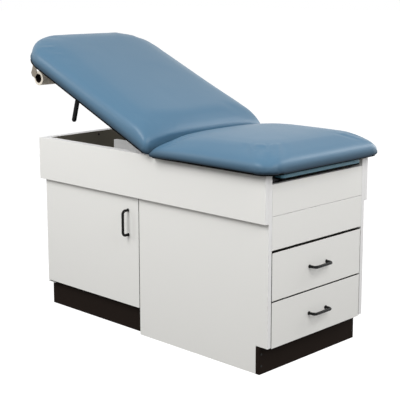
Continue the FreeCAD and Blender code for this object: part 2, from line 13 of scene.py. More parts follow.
import bmesh
import bpy
import numpy as np
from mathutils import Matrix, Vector

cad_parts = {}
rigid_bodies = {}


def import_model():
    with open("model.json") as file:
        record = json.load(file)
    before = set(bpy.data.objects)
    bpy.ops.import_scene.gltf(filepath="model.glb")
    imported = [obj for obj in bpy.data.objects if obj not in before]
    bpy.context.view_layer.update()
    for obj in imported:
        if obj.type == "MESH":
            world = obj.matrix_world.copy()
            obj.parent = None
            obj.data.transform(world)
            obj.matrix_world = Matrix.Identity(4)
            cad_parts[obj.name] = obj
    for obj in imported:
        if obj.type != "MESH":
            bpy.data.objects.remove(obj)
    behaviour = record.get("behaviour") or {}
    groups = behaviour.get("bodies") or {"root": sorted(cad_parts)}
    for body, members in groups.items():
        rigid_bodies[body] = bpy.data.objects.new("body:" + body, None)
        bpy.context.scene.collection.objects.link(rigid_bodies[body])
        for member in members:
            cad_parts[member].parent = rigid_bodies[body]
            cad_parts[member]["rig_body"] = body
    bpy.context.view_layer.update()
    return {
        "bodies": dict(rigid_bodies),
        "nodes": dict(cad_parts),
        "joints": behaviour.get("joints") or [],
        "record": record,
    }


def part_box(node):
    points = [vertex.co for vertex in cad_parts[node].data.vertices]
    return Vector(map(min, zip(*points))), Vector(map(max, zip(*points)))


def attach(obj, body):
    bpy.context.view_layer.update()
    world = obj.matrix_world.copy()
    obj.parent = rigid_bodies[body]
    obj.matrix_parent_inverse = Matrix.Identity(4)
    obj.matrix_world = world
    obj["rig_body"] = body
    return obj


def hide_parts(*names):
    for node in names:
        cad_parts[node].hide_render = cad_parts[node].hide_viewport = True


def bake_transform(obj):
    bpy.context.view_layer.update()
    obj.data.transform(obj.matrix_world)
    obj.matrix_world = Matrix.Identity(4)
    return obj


LOG = logging.getLogger("treatment_table")
MM = 0.001
CREASE_X = 67.0 * MM
HINGE_Z = 744.0 * MM
BODY_TOP = 732.0 * MM
BACK_BOTTOM = BODY_TOP + 0.5 * MM
BACK_ANGLE = math.radians(23.6)
SKIN_WELD = 0.05 * MM
SMOOTH_FACTOR = 0.5
NOISE_MIDDLE = 0.5
LEAST_MOVE = 1e-9


class Body(Enum):
    """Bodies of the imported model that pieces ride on."""

    CABINET = "cabinet"
    BACK = "back"
    CYLINDER = "gas_cylinder"
    ROD = "gas_rod"
    LEVER = "release_lever"
    PAPER = "paper"
    DOOR = "door"
    DRAWER_UPPER = "drawer_upper"
    DRAWER_LOWER = "drawer_lower"
    LEG_REST = "leg_rest"


class Axis(Enum):
    """Directions of the frame, by column."""

    X = 0
    Y = 1
    Z = 2


def srgb(red: int, green: int, blue: int) -> tuple[float, float, float, float]:
    """Turns an eight-bit screen colour into the linear colour that shaders take.

    Args:
        red: red from 0 to 255.
        green: green from 0 to 255.
        blue: blue from 0 to 255.

    Returns:
        Linear red, green, blue and an alpha of 1.
    """
    shares = np.array([red, green, blue]) / 255.0
    linear = np.where(shares <= 0.04045, shares / 12.92, ((shares + 0.055) / 1.055) ** 2.4)
    return (*linear.tolist(), 1.0)


# Shader groups


class GroupMaker:
    """Builds each shared shader group once and hands it to the materials."""

    mottle_detail: ClassVar[float] = 4.0
    smear_detail: ClassVar[float] = 6.0
    smear_twist: ClassVar[float] = 0.6
    cell_softness: ClassVar[float] = 0.6
    grain_detail: ClassVar[float] = 3.0

    def __init__(self) -> None:
        """Starts with no group built."""
        self.built: dict[str, bpy.types.NodeTree] = {}

    def begin(self, name: str, inputs: Sequence[tuple], outputs: Sequence[tuple]) -> bpy.types.NodeTree:
        """Makes an empty group with named sockets.

        Args:
            name: group name.
            inputs: (socket name, socket type, default) for each input.
            outputs: (socket name, socket type) for each output.

        Returns:
            The new node tree.
        """
        tree = bpy.data.node_groups.new(name, "ShaderNodeTree")
        for label, kind, default in inputs:
            socket = tree.interface.new_socket(label, in_out="INPUT", socket_type=kind)
            socket.default_value = default
        for label, kind in outputs:
            tree.interface.new_socket(label, in_out="OUTPUT", socket_type=kind)
        self.built[name] = tree
        return tree

    def mottle(self) -> bpy.types.NodeTree:
        """Builds the group that varies a colour a little: the colour times 1 plus a share of cloudy noise.

        Returns:
            The group's node tree.
        """
        if "Mottle" in self.built:
            return self.built["Mottle"]
        tree = self.begin(
            "Mottle",
            [("Color", "NodeSocketColor", (0.5, 0.5, 0.5, 1)), ("Scale", "NodeSocketFloat", 5.0),
             ("Amount", "NodeSocketFloat", 0.05)],
            [("Color", "NodeSocketColor")])
        nodes, links = tree.nodes, tree.links
        source = nodes.new("NodeGroupInput")
        result = nodes.new("NodeGroupOutput")
        place = nodes.new("ShaderNodeTexCoord")
        cloud = nodes.new("ShaderNodeTexNoise")
        cloud.inputs["Detail"].default_value = self.mottle_detail
        links.new(place.outputs["Object"], cloud.inputs["Vector"])
        links.new(source.outputs["Scale"], cloud.inputs["Scale"])
        centred = nodes.new("ShaderNodeMath")
        centred.operation = "SUBTRACT"
        links.new(cloud.outputs["Fac"], centred.inputs[0])
        centred.inputs[1].default_value = NOISE_MIDDLE
        swing = nodes.new("ShaderNodeMath")
        swing.operation = "MULTIPLY_ADD"
        links.new(centred.outputs[0], swing.inputs[0])
        links.new(source.outputs["Amount"], swing.inputs[1])
        swing.inputs[2].default_value = 1.0
        shade = nodes.new("ShaderNodeVectorMath")
        shade.operation = "SCALE"
        links.new(source.outputs["Color"], shade.inputs[0])
        links.new(swing.outputs[0], shade.inputs["Scale"])
        links.new(shade.outputs[0], result.inputs["Color"])
        return tree

    def handling(self) -> bpy.types.NodeTree:
        """Builds the group that varies roughness the way wiped and handled surfaces do.

        Returns:
            The group's node tree.
        """
        if "Handling" in self.built:
            return self.built["Handling"]
        tree = self.begin(
            "Handling",
            [("Roughness", "NodeSocketFloat", 0.4), ("Spread", "NodeSocketFloat", 0.1),
             ("Scale", "NodeSocketFloat", 8.0)],
            [("Roughness", "NodeSocketFloat")])
        nodes, links = tree.nodes, tree.links
        source = nodes.new("NodeGroupInput")
        result = nodes.new("NodeGroupOutput")
        place = nodes.new("ShaderNodeTexCoord")
        smear = nodes.new("ShaderNodeTexNoise")
        smear.inputs["Detail"].default_value = self.smear_detail
        smear.inputs["Distortion"].default_value = self.smear_twist
        links.new(place.outputs["Object"], smear.inputs["Vector"])
        links.new(source.outputs["Scale"], smear.inputs["Scale"])
        centred = nodes.new("ShaderNodeMath")
        centred.operation = "SUBTRACT"
        links.new(smear.outputs["Fac"], centred.inputs[0])
        centred.inputs[1].default_value = NOISE_MIDDLE
        total = nodes.new("ShaderNodeMath")
        total.operation = "MULTIPLY_ADD"
        links.new(centred.outputs[0], total.inputs[0])
        links.new(source.outputs["Spread"], total.inputs[1])
        links.new(source.outputs["Roughness"], total.inputs[2])
        links.new(total.outputs[0], result.inputs["Roughness"])
        return tree

    def grain(self) -> bpy.types.NodeTree:
        """Builds the group whose height is a fine pebble: rounded cells mixed with cloudy noise.

        Returns:
            The group's node tree.
        """
        if "Pebble" in self.built:
            return self.built["Pebble"]
        tree = self.begin(
            "Pebble",
            [("Scale", "NodeSocketFloat", 600.0), ("Cloud Share", "NodeSocketFloat", 0.4)],
            [("Height", "NodeSocketFloat")])
        nodes, links = tree.nodes, tree.links
        source = nodes.new("NodeGroupInput")
        result = nodes.new("NodeGroupOutput")
        place = nodes.new("ShaderNodeTexCoord")
        cells = nodes.new("ShaderNodeTexVoronoi")
        cells.feature = "SMOOTH_F1"
        cells.inputs["Smoothness"].default_value = self.cell_softness
        links.new(place.outputs["Object"], cells.inputs["Vector"])
        links.new(source.outputs["Scale"], cells.inputs["Scale"])
        cloud = nodes.new("ShaderNodeTexNoise")
        cloud.inputs["Detail"].default_value = self.grain_detail
        links.new(place.outputs["Object"], cloud.inputs["Vector"])
        links.new(source.outputs["Scale"], cloud.inputs["Scale"])
        mixed = nodes.new("ShaderNodeMix")
        mixed.data_type = "FLOAT"
        links.new(source.outputs["Cloud Share"], mixed.inputs[0])
        links.new(cells.outputs["Distance"], mixed.inputs[2])
        links.new(cloud.outputs["Fac"], mixed.inputs[3])
        links.new(mixed.outputs[0], result.inputs["Height"])
        return tree


GROUPS = GroupMaker()


# Finishes


@dataclass(frozen=True)
class Finish:
    """One surface finish: its colour, gloss, and how much both vary over the piece."""

    name: str
    slot: str
    color: tuple[int, int, int]
    roughness: float = 0.5
    metallic: float = 0.0
    mottle_scale: float = 6.0
    mottle_amount: float = 0.06
    smear: float = 0.08
    grain_scale: float = 0.0
    grain_height: float = 0.0
    specular: float = 0.5

    def material(self) -> bpy.types.Material:
        """Returns this finish's material, built at its first use."""
        made = bpy.data.materials.get(self.name)
        return made if made else self.build()

    def build(self) -> bpy.types.Material:
        """Makes the material: mottled colour, smeared roughness, and a pebbled bump where it has a grain.

        Returns:
            The new material.
        """
        material = bpy.data.materials.new(self.name)
        material.use_nodes = True
        nodes, links = material.node_tree.nodes, material.node_tree.links
        shader = nodes["Principled BSDF"]
        shader.inputs["Metallic"].default_value = self.metallic
        shader.inputs["Specular IOR Level"].default_value = self.specular
        color = nodes.new("ShaderNodeGroup")
        color.node_tree = GROUPS.mottle()
        color.inputs["Color"].default_value = srgb(*self.color)
        color.inputs["Scale"].default_value = self.mottle_scale
        color.inputs["Amount"].default_value = self.mottle_amount
        links.new(color.outputs["Color"], shader.inputs["Base Color"])
        gloss = nodes.new("ShaderNodeGroup")
        gloss.node_tree = GROUPS.handling()
        gloss.inputs["Roughness"].default_value = self.roughness
        gloss.inputs["Spread"].default_value = self.smear
        links.new(gloss.outputs["Roughness"], shader.inputs["Roughness"])
        if self.grain_height > 0:
            grain = nodes.new("ShaderNodeGroup")
            grain.node_tree = GROUPS.grain()
            grain.inputs["Scale"].default_value = self.grain_scale
            bump = nodes.new("ShaderNodeBump")
            bump.inputs["Strength"].default_value = 1.0
            bump.inputs["Distance"].default_value = self.grain_height
            links.new(grain.outputs["Height"], bump.inputs["Height"])
            links.new(bump.outputs["Normal"], shader.inputs["Normal"])
        return material


@dataclass(frozen=True)
class WoundPaperFinish(Finish):
    """Wound paper, whose layers show as fine rings round the roll's axis."""

    centre: tuple[float, float, float] = (0.0, 0.0, 0.0)
    layer: float = 1.1 * MM
    contrast: float = 0.10

    def build(self) -> bpy.types.Material:
        """Adds rings by distance from the roll's axis to the plain finish.

        Returns:
            The new material.
        """
        material = super().build()
        nodes, links = material.node_tree.nodes, material.node_tree.links
        shader = nodes["Principled BSDF"]
        place = nodes.new("ShaderNodeTexCoord")
        shift = nodes.new("ShaderNodeVectorMath")
        shift.operation = "SUBTRACT"
        shift.inputs[1].default_value = self.centre
        links.new(place.outputs["Object"], shift.inputs[0])
        flat = nodes.new("ShaderNodeVectorMath")
        flat.operation = "MULTIPLY"
        flat.inputs[1].default_value = (1.0, 0.0, 1.0)
        links.new(shift.outputs[0], flat.inputs[0])
        radius = nodes.new("ShaderNodeVectorMath")
        radius.operation = "LENGTH"
        links.new(flat.outputs[0], radius.inputs[0])
        turns = nodes.new("ShaderNodeMath")
        turns.operation = "MULTIPLY"
        turns.inputs[1].default_value = 2 * math.pi / self.layer
        links.new(radius.outputs["Value"], turns.inputs[0])
        wave = nodes.new("ShaderNodeMath")
        wave.operation = "SINE"
        links.new(turns.outputs[0], wave.inputs[0])
        level = nodes.new("ShaderNodeMath")
        level.operation = "MULTIPLY_ADD"
        level.inputs[1].default_value = self.contrast / 2
        level.inputs[2].default_value = 1.0 - self.contrast / 2
        links.new(wave.outputs[0], level.inputs[0])
        shade = nodes.new("ShaderNodeVectorMath")
        shade.operation = "SCALE"
        source = shader.inputs["Base Color"].links[0].from_socket
        links.new(source, shade.inputs[0])
        links.new(level.outputs[0], shade.inputs["Scale"])
        links.new(shade.outputs[0], shader.inputs["Base Color"])
        return material


@dataclass(frozen=True)
class RimShadeVinyl(Finish):
    """Stretched vinyl with painted shade towards the rim: darker and duller near the underside, where the
    rolled edge falls into shade.
    """

    mask: ClassVar[str] = "rim"
    rim_shade_color: tuple[int, int, int] = (14, 30, 42)
    rim_shade_roughness: float = 0.85

    def build(self) -> bpy.types.Material:
        """Darkens and dulls the plain finish towards the rim as painted shade, by the rim mask that each
        cushion carries.

        Returns:
            The new material.
        """
        material = super().build()
        nodes, links = material.node_tree.nodes, material.node_tree.links
        shader = nodes["Principled BSDF"]
        height = nodes.new("ShaderNodeAttribute")
        height.attribute_name = self.mask
        eased = nodes.new("ShaderNodeMapRange")
        eased.interpolation_type = "SMOOTHSTEP"
        links.new(height.outputs["Fac"], eased.inputs["Value"])
        mixed = nodes.new("ShaderNodeMix")
        mixed.data_type = "RGBA"
        links.new(eased.outputs["Result"], mixed.inputs["Factor"])
        rim, skin = (socket for socket in mixed.inputs if socket.type == "RGBA")
        rim.default_value = srgb(*self.rim_shade_color)
        links.new(shader.inputs["Base Color"].links[0].from_socket, skin)
        mixed_color = next(socket for socket in mixed.outputs if socket.type == "RGBA")
        links.new(mixed_color, shader.inputs["Base Color"])
        dulled = nodes.new("ShaderNodeMix")
        dulled.inputs["A"].default_value = self.rim_shade_roughness
        links.new(eased.outputs["Result"], dulled.inputs["Factor"])
        links.new(shader.inputs["Roughness"].links[0].from_socket, dulled.inputs["B"])
        links.new(dulled.outputs["Result"], shader.inputs["Roughness"])
        return material


LAMINATE = Finish("Pale Grey Laminate", "laminate", (240, 239, 235), 0.42, mottle_scale=3.0,
                  mottle_amount=0.02, smear=0.10, grain_scale=900.0, grain_height=0.03 * MM, specular=0.25)
EDGE_BAND = Finish("Laminate Edge Band", "laminate", (238, 237, 236), 0.42, mottle_scale=3.0,
                   mottle_amount=0.02)
# Laminate brightened above its own colour: painted light on the centre board, which sits in the well's shade.
LAMINATE_PAINTED_LIGHT = Finish("White Lining Board", "laminate", (250, 250, 249), 0.5, mottle_scale=3.0,
                     mottle_amount=0.02)
# Near-black edge finish for the door and drawer fronts: painted shade, so the seams between fronts read as
# dark gaps.
GAP_SHADE_EDGE = Finish("Shaded Panel Edge", "laminate", (44, 40, 37), 0.6, mottle_scale=3.0,
                     mottle_amount=0.02, specular=0.1)
# Darker face for the head panel's inner side: painted shade in the well.
WELL_SHADE = Finish("Dark Lined Inner Face", "laminate", (120, 115, 103), 0.7, mottle_scale=9.0,
                    mottle_amount=0.12, specular=0.1)
TOE_BOARD = Finish("Dark Brown Toe Board", "dark_laminate", (33, 26, 22), 0.8, mottle_scale=12.0,
                   mottle_amount=0.2, grain_scale=700.0, grain_height=0.02 * MM, specular=0.05)
# The vinyl carries painted shade: it darkens and dulls towards each cushion's rim.
VINYL = RimShadeVinyl("Slate Blue Vinyl", "vinyl", (80, 115, 140), 0.37, mottle_scale=2.5, mottle_amount=0.05,
                    smear=0.10, grain_scale=520.0, grain_height=0.06 * MM, specular=0.3)
VINYL_DEEP = Finish("Leg Rest Vinyl", "vinyl", (72, 120, 138), 0.42, mottle_scale=3.0, mottle_amount=0.06,
                    grain_scale=520.0, grain_height=0.06 * MM)
# Near-black finish for the plywood boards under the cushions: painted shade, so the slot and the cushion
# undersides read dark.
PAINTED_SHADE_BOARD = Finish("Black Dust Cloth", "plywood", (14, 14, 14), 0.9, mottle_scale=40.0, mottle_amount=0.2,
                    specular=0.05)
# Near-black hub colour: painted shade, so the hub in the core's end reads as a dark hole.
HUB_PAINTED_SHADE = Finish("Brown Black Hub", "bronze_steel", (22, 15, 11), 0.7, mottle_scale=60.0, mottle_amount=0.2,
             specular=0.05)
WELL_BOARD = Finish("Dark Well Board", "dark_laminate", (58, 54, 46), 0.6, mottle_scale=9.0,
                    mottle_amount=0.12, specular=0.2)
BARE_WOOD = Finish("Bare Softwood", "raw_wood", (190, 162, 126), 0.65, mottle_scale=18.0, mottle_amount=0.25)
DRAWER_BOARD = Finish("White Melamine Board", "drawer_board", (230, 228, 222), 0.45, mottle_amount=0.03)
ZINC = Finish("Zinc Plated Steel", "steel", (176, 176, 172), 0.34, metallic=1.0, mottle_scale=40.0,
              mottle_amount=0.2)
CHROME = Finish("Polished Rod", "chrome_rod", (214, 214, 216), 0.10, metallic=1.0, mottle_amount=0.02,
                smear=0.04)
BLACK_METAL = Finish("Satin Black Metal", "black_metal", (11, 11, 11), 0.42, mottle_scale=30.0,
                     mottle_amount=0.15, specular=0.15)
BRONZE_STEEL = Finish("Grey Brown Painted Steel", "bronze_steel", (132, 122, 108), 0.42, mottle_scale=25.0,
                      mottle_amount=0.12)
BLACK_PLASTIC = Finish("Satin Black Plastic", "black_plastic", (10, 10, 11), 0.45, mottle_scale=30.0,
                       mottle_amount=0.1, specular=0.15)
CARD = Finish("Bare Card", "card", (96, 74, 54), 0.8, mottle_scale=60.0, mottle_amount=0.2)


# Surfaces


def grid_faces(rows: int, columns: int, closed: bool) -> np.ndarray:
    """Lists the quads of a grid of points stored row by row.

    Args:
        rows: number of rows.
        columns: number of points in a row.
        closed: whether each row joins up with its own start.

    Returns:
        Integer array of quads, whose faces point outwards when rows go round anticlockwise and climb.
    """
    across = columns if closed else columns - 1
    row, column = np.meshgrid(np.arange(rows - 1), np.arange(across), indexing="ij")
    after = (column + 1) % columns
    quads = np.stack([row * columns + column, row * columns + after,
                      (row + 1) * columns + after, (row + 1) * columns + column], axis=-1)
    return quads.reshape(-1, 4)


def turned(points: np.ndarray, angle: float) -> np.ndarray:
    """Turns points of the flat back about the hinge line to where the back rests.

    Args:
        points: array of points.
        angle: turn in radians, positive lifts the head end.

    Returns:
        The turned points.
    """
    along = points[:, 0] - CREASE_X
    rise = points[:, 2] - HINGE_Z
    cosine, sine = math.cos(angle), math.sin(angle)
    return np.stack([CREASE_X + along * cosine + rise * sine, points[:, 1],
                     HINGE_Z - along * sine + rise * cosine], axis=1)


def mesh_piece(name: str, points: np.ndarray, faces: Sequence, finishes: Sequence[Finish], body: Body,
               replaced: Sequence[str] = (), smooth: bool = True,
               material_index: Optional[np.ndarray] = None) -> bpy.types.Object:
    """Makes one finished piece from points and faces, dresses it and lets it ride on its body.

    Args:
        name: piece name.
        points: array of points in the frame.
        faces: lists of point numbers, turned outwards.
        finishes: finishes in the order of the material slots.
        body: the body that it moves with.
        replaced: frame nodes that it stands for.
        smooth: whether its faces are shaded smooth.
        material_index: material slot of each face, where there is more than one.

    Returns:
        The new object.
    """
    mesh = bpy.data.meshes.new(name)
    mesh.from_pydata(np.asarray(points, float).tolist(), [], [list(map(int, face)) for face in faces])
    mesh.validate()
    for finish in finishes:
        mesh.materials.append(finish.material())
    mesh.polygons.foreach_set("use_smooth", np.full(len(mesh.polygons), smooth))
    if material_index is not None:
        mesh.polygons.foreach_set("material_index", np.asarray(material_index, np.int32))
    mesh.update()
    piece = bpy.data.objects.new(name, mesh)
    bpy.context.scene.collection.objects.link(piece)
    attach(piece, body.value)
    if replaced:
        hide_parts(*replaced)
    return piece


def ease_edges(piece: bpy.types.Object, width: float, segments: int = 2,
               limit: float = math.radians(40)) -> None:
    """Rounds a piece's sharp edges with a live bevel.

    Args:
        piece: the piece.
        width: width of the rounding.
        segments: steps across it.
        limit: edges sharper than this are rounded.
    """
    bevel = piece.modifiers.new("Eased Edges", "BEVEL")
    bevel.width = width
    bevel.segments = segments
    bevel.limit_method = "ANGLE"
    bevel.angle_limit = limit
    bevel.harden_normals = False


def prism(outline: np.ndarray, axis: Axis, low: float, high: float) -> tuple[np.ndarray, list]:
    """Carries a flat outline along an axis.

    Args:
        outline: corner pairs in the two other axes, in order X, Y, Z, anticlockwise seen against the axis.
        axis: the axis.
        low: start along it.
        high: end along it.

    Returns:
        Points and faces: the low cap, the high cap, then the sides.
    """
    count = len(outline)
    others = [i for i in range(3) if i != axis.value]
    points = np.zeros((2 * count, 3))
    points[:count, others] = outline
    points[count:, others] = outline
    points[:count, axis.value] = low
    points[count:, axis.value] = high
    steps = np.arange(count)
    after = (steps + 1) % count
    sides = np.stack([steps, after, after + count, steps + count], axis=1)
    low_cap, high_cap = steps[::-1].tolist(), (steps + count).tolist()
    faces = [low_cap, high_cap] + sides.tolist()
    if axis is Axis.Y:
        faces = [face[::-1] for face in faces]
    return points, faces


def sweep(path: np.ndarray, radius: float, sides: int = 20) -> tuple[np.ndarray, np.ndarray]:
    """Carries a circle along a path that lies in one plane, square to the path at each of its points.

    Args:
        path: points of the route.
        radius: radius of the bar.
        sides: points round it.

    Returns:
        Points and quads; the ends stay open.
    """
    path = np.asarray(path, float)
    tangent = np.gradient(path, axis=0)
    tangent /= np.linalg.norm(tangent, axis=1, keepdims=True)
    spread = np.linalg.svd(path - path.mean(axis=0))[2]
    binormal = np.broadcast_to(spread[2], tangent.shape)
    normal = np.cross(binormal, tangent)
    angle = np.linspace(0, 2 * math.pi, sides, endpoint=False)
    ring = (normal[:, None, :] * np.cos(angle)[None, :, None]
            + binormal[:, None, :] * np.sin(angle)[None, :, None])
    points = path[:, None, :] + ring * radius
    quads = grid_faces(len(path), sides, True)
    return points.reshape(-1, 3), quads


def lathe(profile: np.ndarray, origin: np.ndarray, axis: np.ndarray,
          sides: int) -> tuple[np.ndarray, np.ndarray]:
    """Turns a profile round an axis.

    Args:
        profile: (radius, distance along the axis) pairs, climbing along the outside.
        origin: point of the axis at distance zero.
        axis: direction of the axis.
        sides: points round it.

    Returns:
        Points and quads, turned outwards.
    """
    axis = np.asarray(axis, float) / np.linalg.norm(axis)
    helper = np.eye(3)[int(np.argmin(np.abs(axis)))]
    first = np.cross(axis, helper)
    first /= np.linalg.norm(first)
    second = np.cross(axis, first)
    angle = np.linspace(0, 2 * math.pi, sides, endpoint=False)
    spoke = np.cos(angle)[:, None] * first + np.sin(angle)[:, None] * second
    profile = np.asarray(profile, float)
    points = (np.asarray(origin, float) + profile[:, None, 1:2] * axis
              + profile[:, None, 0:1] * spoke[None, :, :])
    return points.reshape(-1, 3), grid_faces(len(profile), sides, True)


def arc(centre: Sequence[float], radius: float, start: float, end: float, steps: int) -> np.ndarray:
    """Returns points of a circular arc as (first, second) pairs, angles in radians."""
    angle = np.linspace(start, end, steps)
    return np.stack([centre[0] + radius * np.cos(angle), centre[1] + radius * np.sin(angle)], axis=1)


def weld(piece: bpy.types.Object, distance: float = 0.01 * MM) -> None:
    """Merges doubled points and turns the faces outwards, then keeps the result.

    Args:
        piece: the piece.
        distance: points nearer than this become one.
    """
    work = bmesh.new()
    work.from_mesh(piece.data)
    bmesh.ops.remove_doubles(work, verts=work.verts, dist=distance)
    bmesh.ops.dissolve_degenerate(work, edges=work.edges, dist=distance)
    bmesh.ops.recalc_face_normals(work, faces=work.faces)
    work.to_mesh(piece.data)
    work.free()
    piece.data.update()


# Cabinet


@dataclass
class Board:
    """One flat board of the cabinet, cut from a frame node's box, with eased edges and edge banding."""

    node: str
    body: Body
    finish: Finish = LAMINATE
    edge: Finish = EDGE_BAND
    ease: float = 1.0 * MM
    seam: float = 0.0
    inner: Optional[Finish] = None

    def build(self) -> bpy.types.Object:
        """Makes the board and dresses its faces and its edges.

        Returns:
            The new object.
        """
        low, high = (np.array(corner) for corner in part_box(self.node))
        axis = Axis(int(np.argmin(high - low)))
        others = [i for i in range(3) if i != axis.value]
        low[others] += self.seam
        high[others] -= self.seam
        outline = np.array([[low[others[0]], low[others[1]]], [high[others[0]], low[others[1]]],
                            [high[others[0]], high[others[1]]], [low[others[0]], high[others[1]]]])
        return self.from_outline(outline, axis, low[axis.value], high[axis.value])

    def from_outline(self, outline: np.ndarray, axis: Axis, low: float, high: float) -> bpy.types.Object:
        """Makes the board from its outline, with face finish on the two caps and banding on the sides.

        Args:
            outline: corners seen along the thickness axis.
            axis: thickness axis.
            low: lower face.
            high: upper face.

        Returns:
            The new object.
        """
        points, faces = prism(outline, axis, low, high)
        index = np.array([0, 2 if self.inner else 0] + [1] * (len(faces) - 2))
        finishes = [self.finish, self.edge] + ([self.inner] if self.inner else [])
        piece = mesh_piece(self.node + "_board", points, faces, finishes, self.body,
                           [self.node], smooth=False, material_index=index)
        ease_edges(piece, self.ease)
        return piece


@dataclass
class Cabinet:
    """Boards of the body: side panels with toe notches, aprons, fascias, plinth and the well, whose head
    panel's inner face carries painted shade and whose centre board carries painted light.
    """

    toe_height: float = 105.0 * MM
    notch_depth: float = 55.0 * MM
    seam: float = 0.8 * MM
    laminate_nodes: tuple[str, ...] = ("apron_near", "apron_far", "apron_head", "door_header",
                                       "side_panel_far_head")
    fascia_nodes: tuple[str, ...] = ("fascia_upper", "fascia_lower")
    toe_nodes: tuple[str, ...] = ("toe_kick_near", "toe_kick_head", "toe_kick_foot")
    inside_nodes: tuple[str, ...] = ("divider_panel", "cabinet_floor", "shelf")
    well_nodes: tuple[str, ...] = ("cross_rail", "well_deck")

    def build(self, nodes: dict[str, bpy.types.Object]) -> list[bpy.types.Object]:
        """Makes every board of the body.

        Args:
            nodes: frame nodes by name.

        Returns:
            The new boards.
        """
        made = [Board(node, Body.CABINET).build() for node in self.laminate_nodes]
        made += [Board(node, Body.CABINET, seam=self.seam).build() for node in self.fascia_nodes]
        made += [Board(node, Body.CABINET, TOE_BOARD, TOE_BOARD).build() for node in self.toe_nodes]
        # The head panel's inner face takes the darker finish as painted shade in the well.
        made.append(Board("head_panel", Body.CABINET, inner=WELL_SHADE).build())
        # The centre board takes the brightened laminate as painted light.
        made.append(Board("centre_board", Body.CABINET, LAMINATE_PAINTED_LIGHT, LAMINATE_PAINTED_LIGHT).build())
        made += [self.side_panel(node) for node in ("side_panel_near", "side_panel_far")]
        for node in self.inside_nodes:
            dress(nodes[node], DRAWER_BOARD)
        for node in self.well_nodes:
            dress(nodes[node], WELL_BOARD)
        dress(nodes["base_bearer"], BARE_WOOD)
        return made

    def side_panel(self, node: str) -> bpy.types.Object:
        """Makes a side panel with the toe notch at its foot.

        Args:
            node: frame node of the panel.

        Returns:
            The new object.
        """
        low, high = (np.array(corner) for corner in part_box(node))
        notch = high[0] - self.notch_depth
        outline = np.array([[low[0], low[2]], [notch, low[2]], [notch, self.toe_height],
                            [high[0], self.toe_height], [high[0], high[2]], [low[0], high[2]]])
        return Board(node, Body.CABINET).from_outline(outline, Axis.Y, low[1], high[1])


@dataclass
class BowPull:
    """Black bow pull: a bar with round bends on two small feet."""

    node: str
    body: Body
    out: tuple[float, float, float]
    along: Axis
    radius: float = 5.4 * MM
    bend: float = 13.0 * MM
    foot_radius: float = 7.0 * MM
    foot_height: float = 2.5 * MM
    foot_wall_share: float = 0.6
    foot_top_share: float = 0.85
    foot_sides: int = 24
    bend_steps: int = 12

    def build(self) -> bpy.types.Object:
        """Sweeps the bar along its bow and sets a turned foot under each end.

        Returns:
            The new object.
        """
        low, high = (np.array(corner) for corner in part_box(self.node))
        out = np.array(self.out)
        depth = int(np.argmax(np.abs(out)))
        across = self.along.value
        face = low[depth] if out[depth] > 0 else high[depth]
        reach = (high[depth] - low[depth]) - self.radius
        first, last = low[across] + self.radius, high[across] - self.radius
        quarter = math.pi / 2
        plane = np.concatenate([
            [[first, 0.0], [first, self.foot_height]],
            arc((first + self.bend, reach - self.bend), self.bend, math.pi, quarter, self.bend_steps),
            arc((last - self.bend, reach - self.bend), self.bend, quarter, 0.0, self.bend_steps),
            [[last, self.foot_height], [last, 0.0]]])
        path = np.zeros((len(plane), 3))
        path[:] = (low + high) / 2
        path[:, across] = plane[:, 0]
        path[:, depth] = face + plane[:, 1] * out[depth]
        points, quads = sweep(path, self.radius)
        quads = quads.tolist()
        for place in (first, last):
            origin = (low + high) / 2
            origin[across] = place
            origin[depth] = face
            profile = np.array([[0.0, 0.0], [self.foot_radius, 0.0],
                                [self.foot_radius, self.foot_height * self.foot_wall_share],
                                [self.foot_radius * self.foot_top_share, self.foot_height],
                                [0.0, self.foot_height]])
            foot_points, foot_quads = lathe(profile, origin, out, self.foot_sides)
            quads += (foot_quads + len(points)).tolist()
            points = np.concatenate([points, foot_points])
        piece = mesh_piece(self.node + "_bow", points, quads, [BLACK_METAL], self.body, [self.node])
        weld(piece)
        return piece


@dataclass
class Drawer:
    """One drawer: its laminate front, melamine box, slide bars and pull."""

    name: str
    body: Body

    def build(self, nodes: dict[str, bpy.types.Object]) -> list[bpy.types.Object]:
        """Makes the front and the pull and dresses the box.

        Args:
            nodes: frame nodes by name.

        Returns:
            The new pieces.
        """
        prefix = "drawer_" + self.name
        dress(nodes[prefix + "_box"], DRAWER_BOARD)
        dress(nodes[prefix + "_bottom"], DRAWER_BOARD)
        dress(nodes[prefix + "_slide_bars"], ZINC)
        # The front's edges take the near-black finish as painted gap shade.
        return [Board(prefix + "_front", self.body, edge=GAP_SHADE_EDGE).build(),
                BowPull(prefix + "_pull", self.body, (1.0, 0.0, 0.0), Axis.Y).build()]


@dataclass
class Door:
    """Cupboard door with its pull, strike, catch and pivots."""

    def build(self, nodes: dict[str, bpy.types.Object]) -> list[bpy.types.Object]:
        """Makes the door board and pull and dresses the small fittings.

        Args:
            nodes: frame nodes by name.

        Returns:
            The new pieces.
        """
        dress(nodes["door_strike"], ZINC)
        dress(nodes["door_catch"], BLACK_PLASTIC)
        dress(nodes["door_pivots"], ZINC)
        # The door's edges take the near-black finish as painted gap shade.
        return [Board("door_panel", Body.DOOR, edge=GAP_SHADE_EDGE).build(),
                BowPull("door_pull", Body.DOOR, (0.0, -1.0, 0.0), Axis.Z).build()]


# Cushions


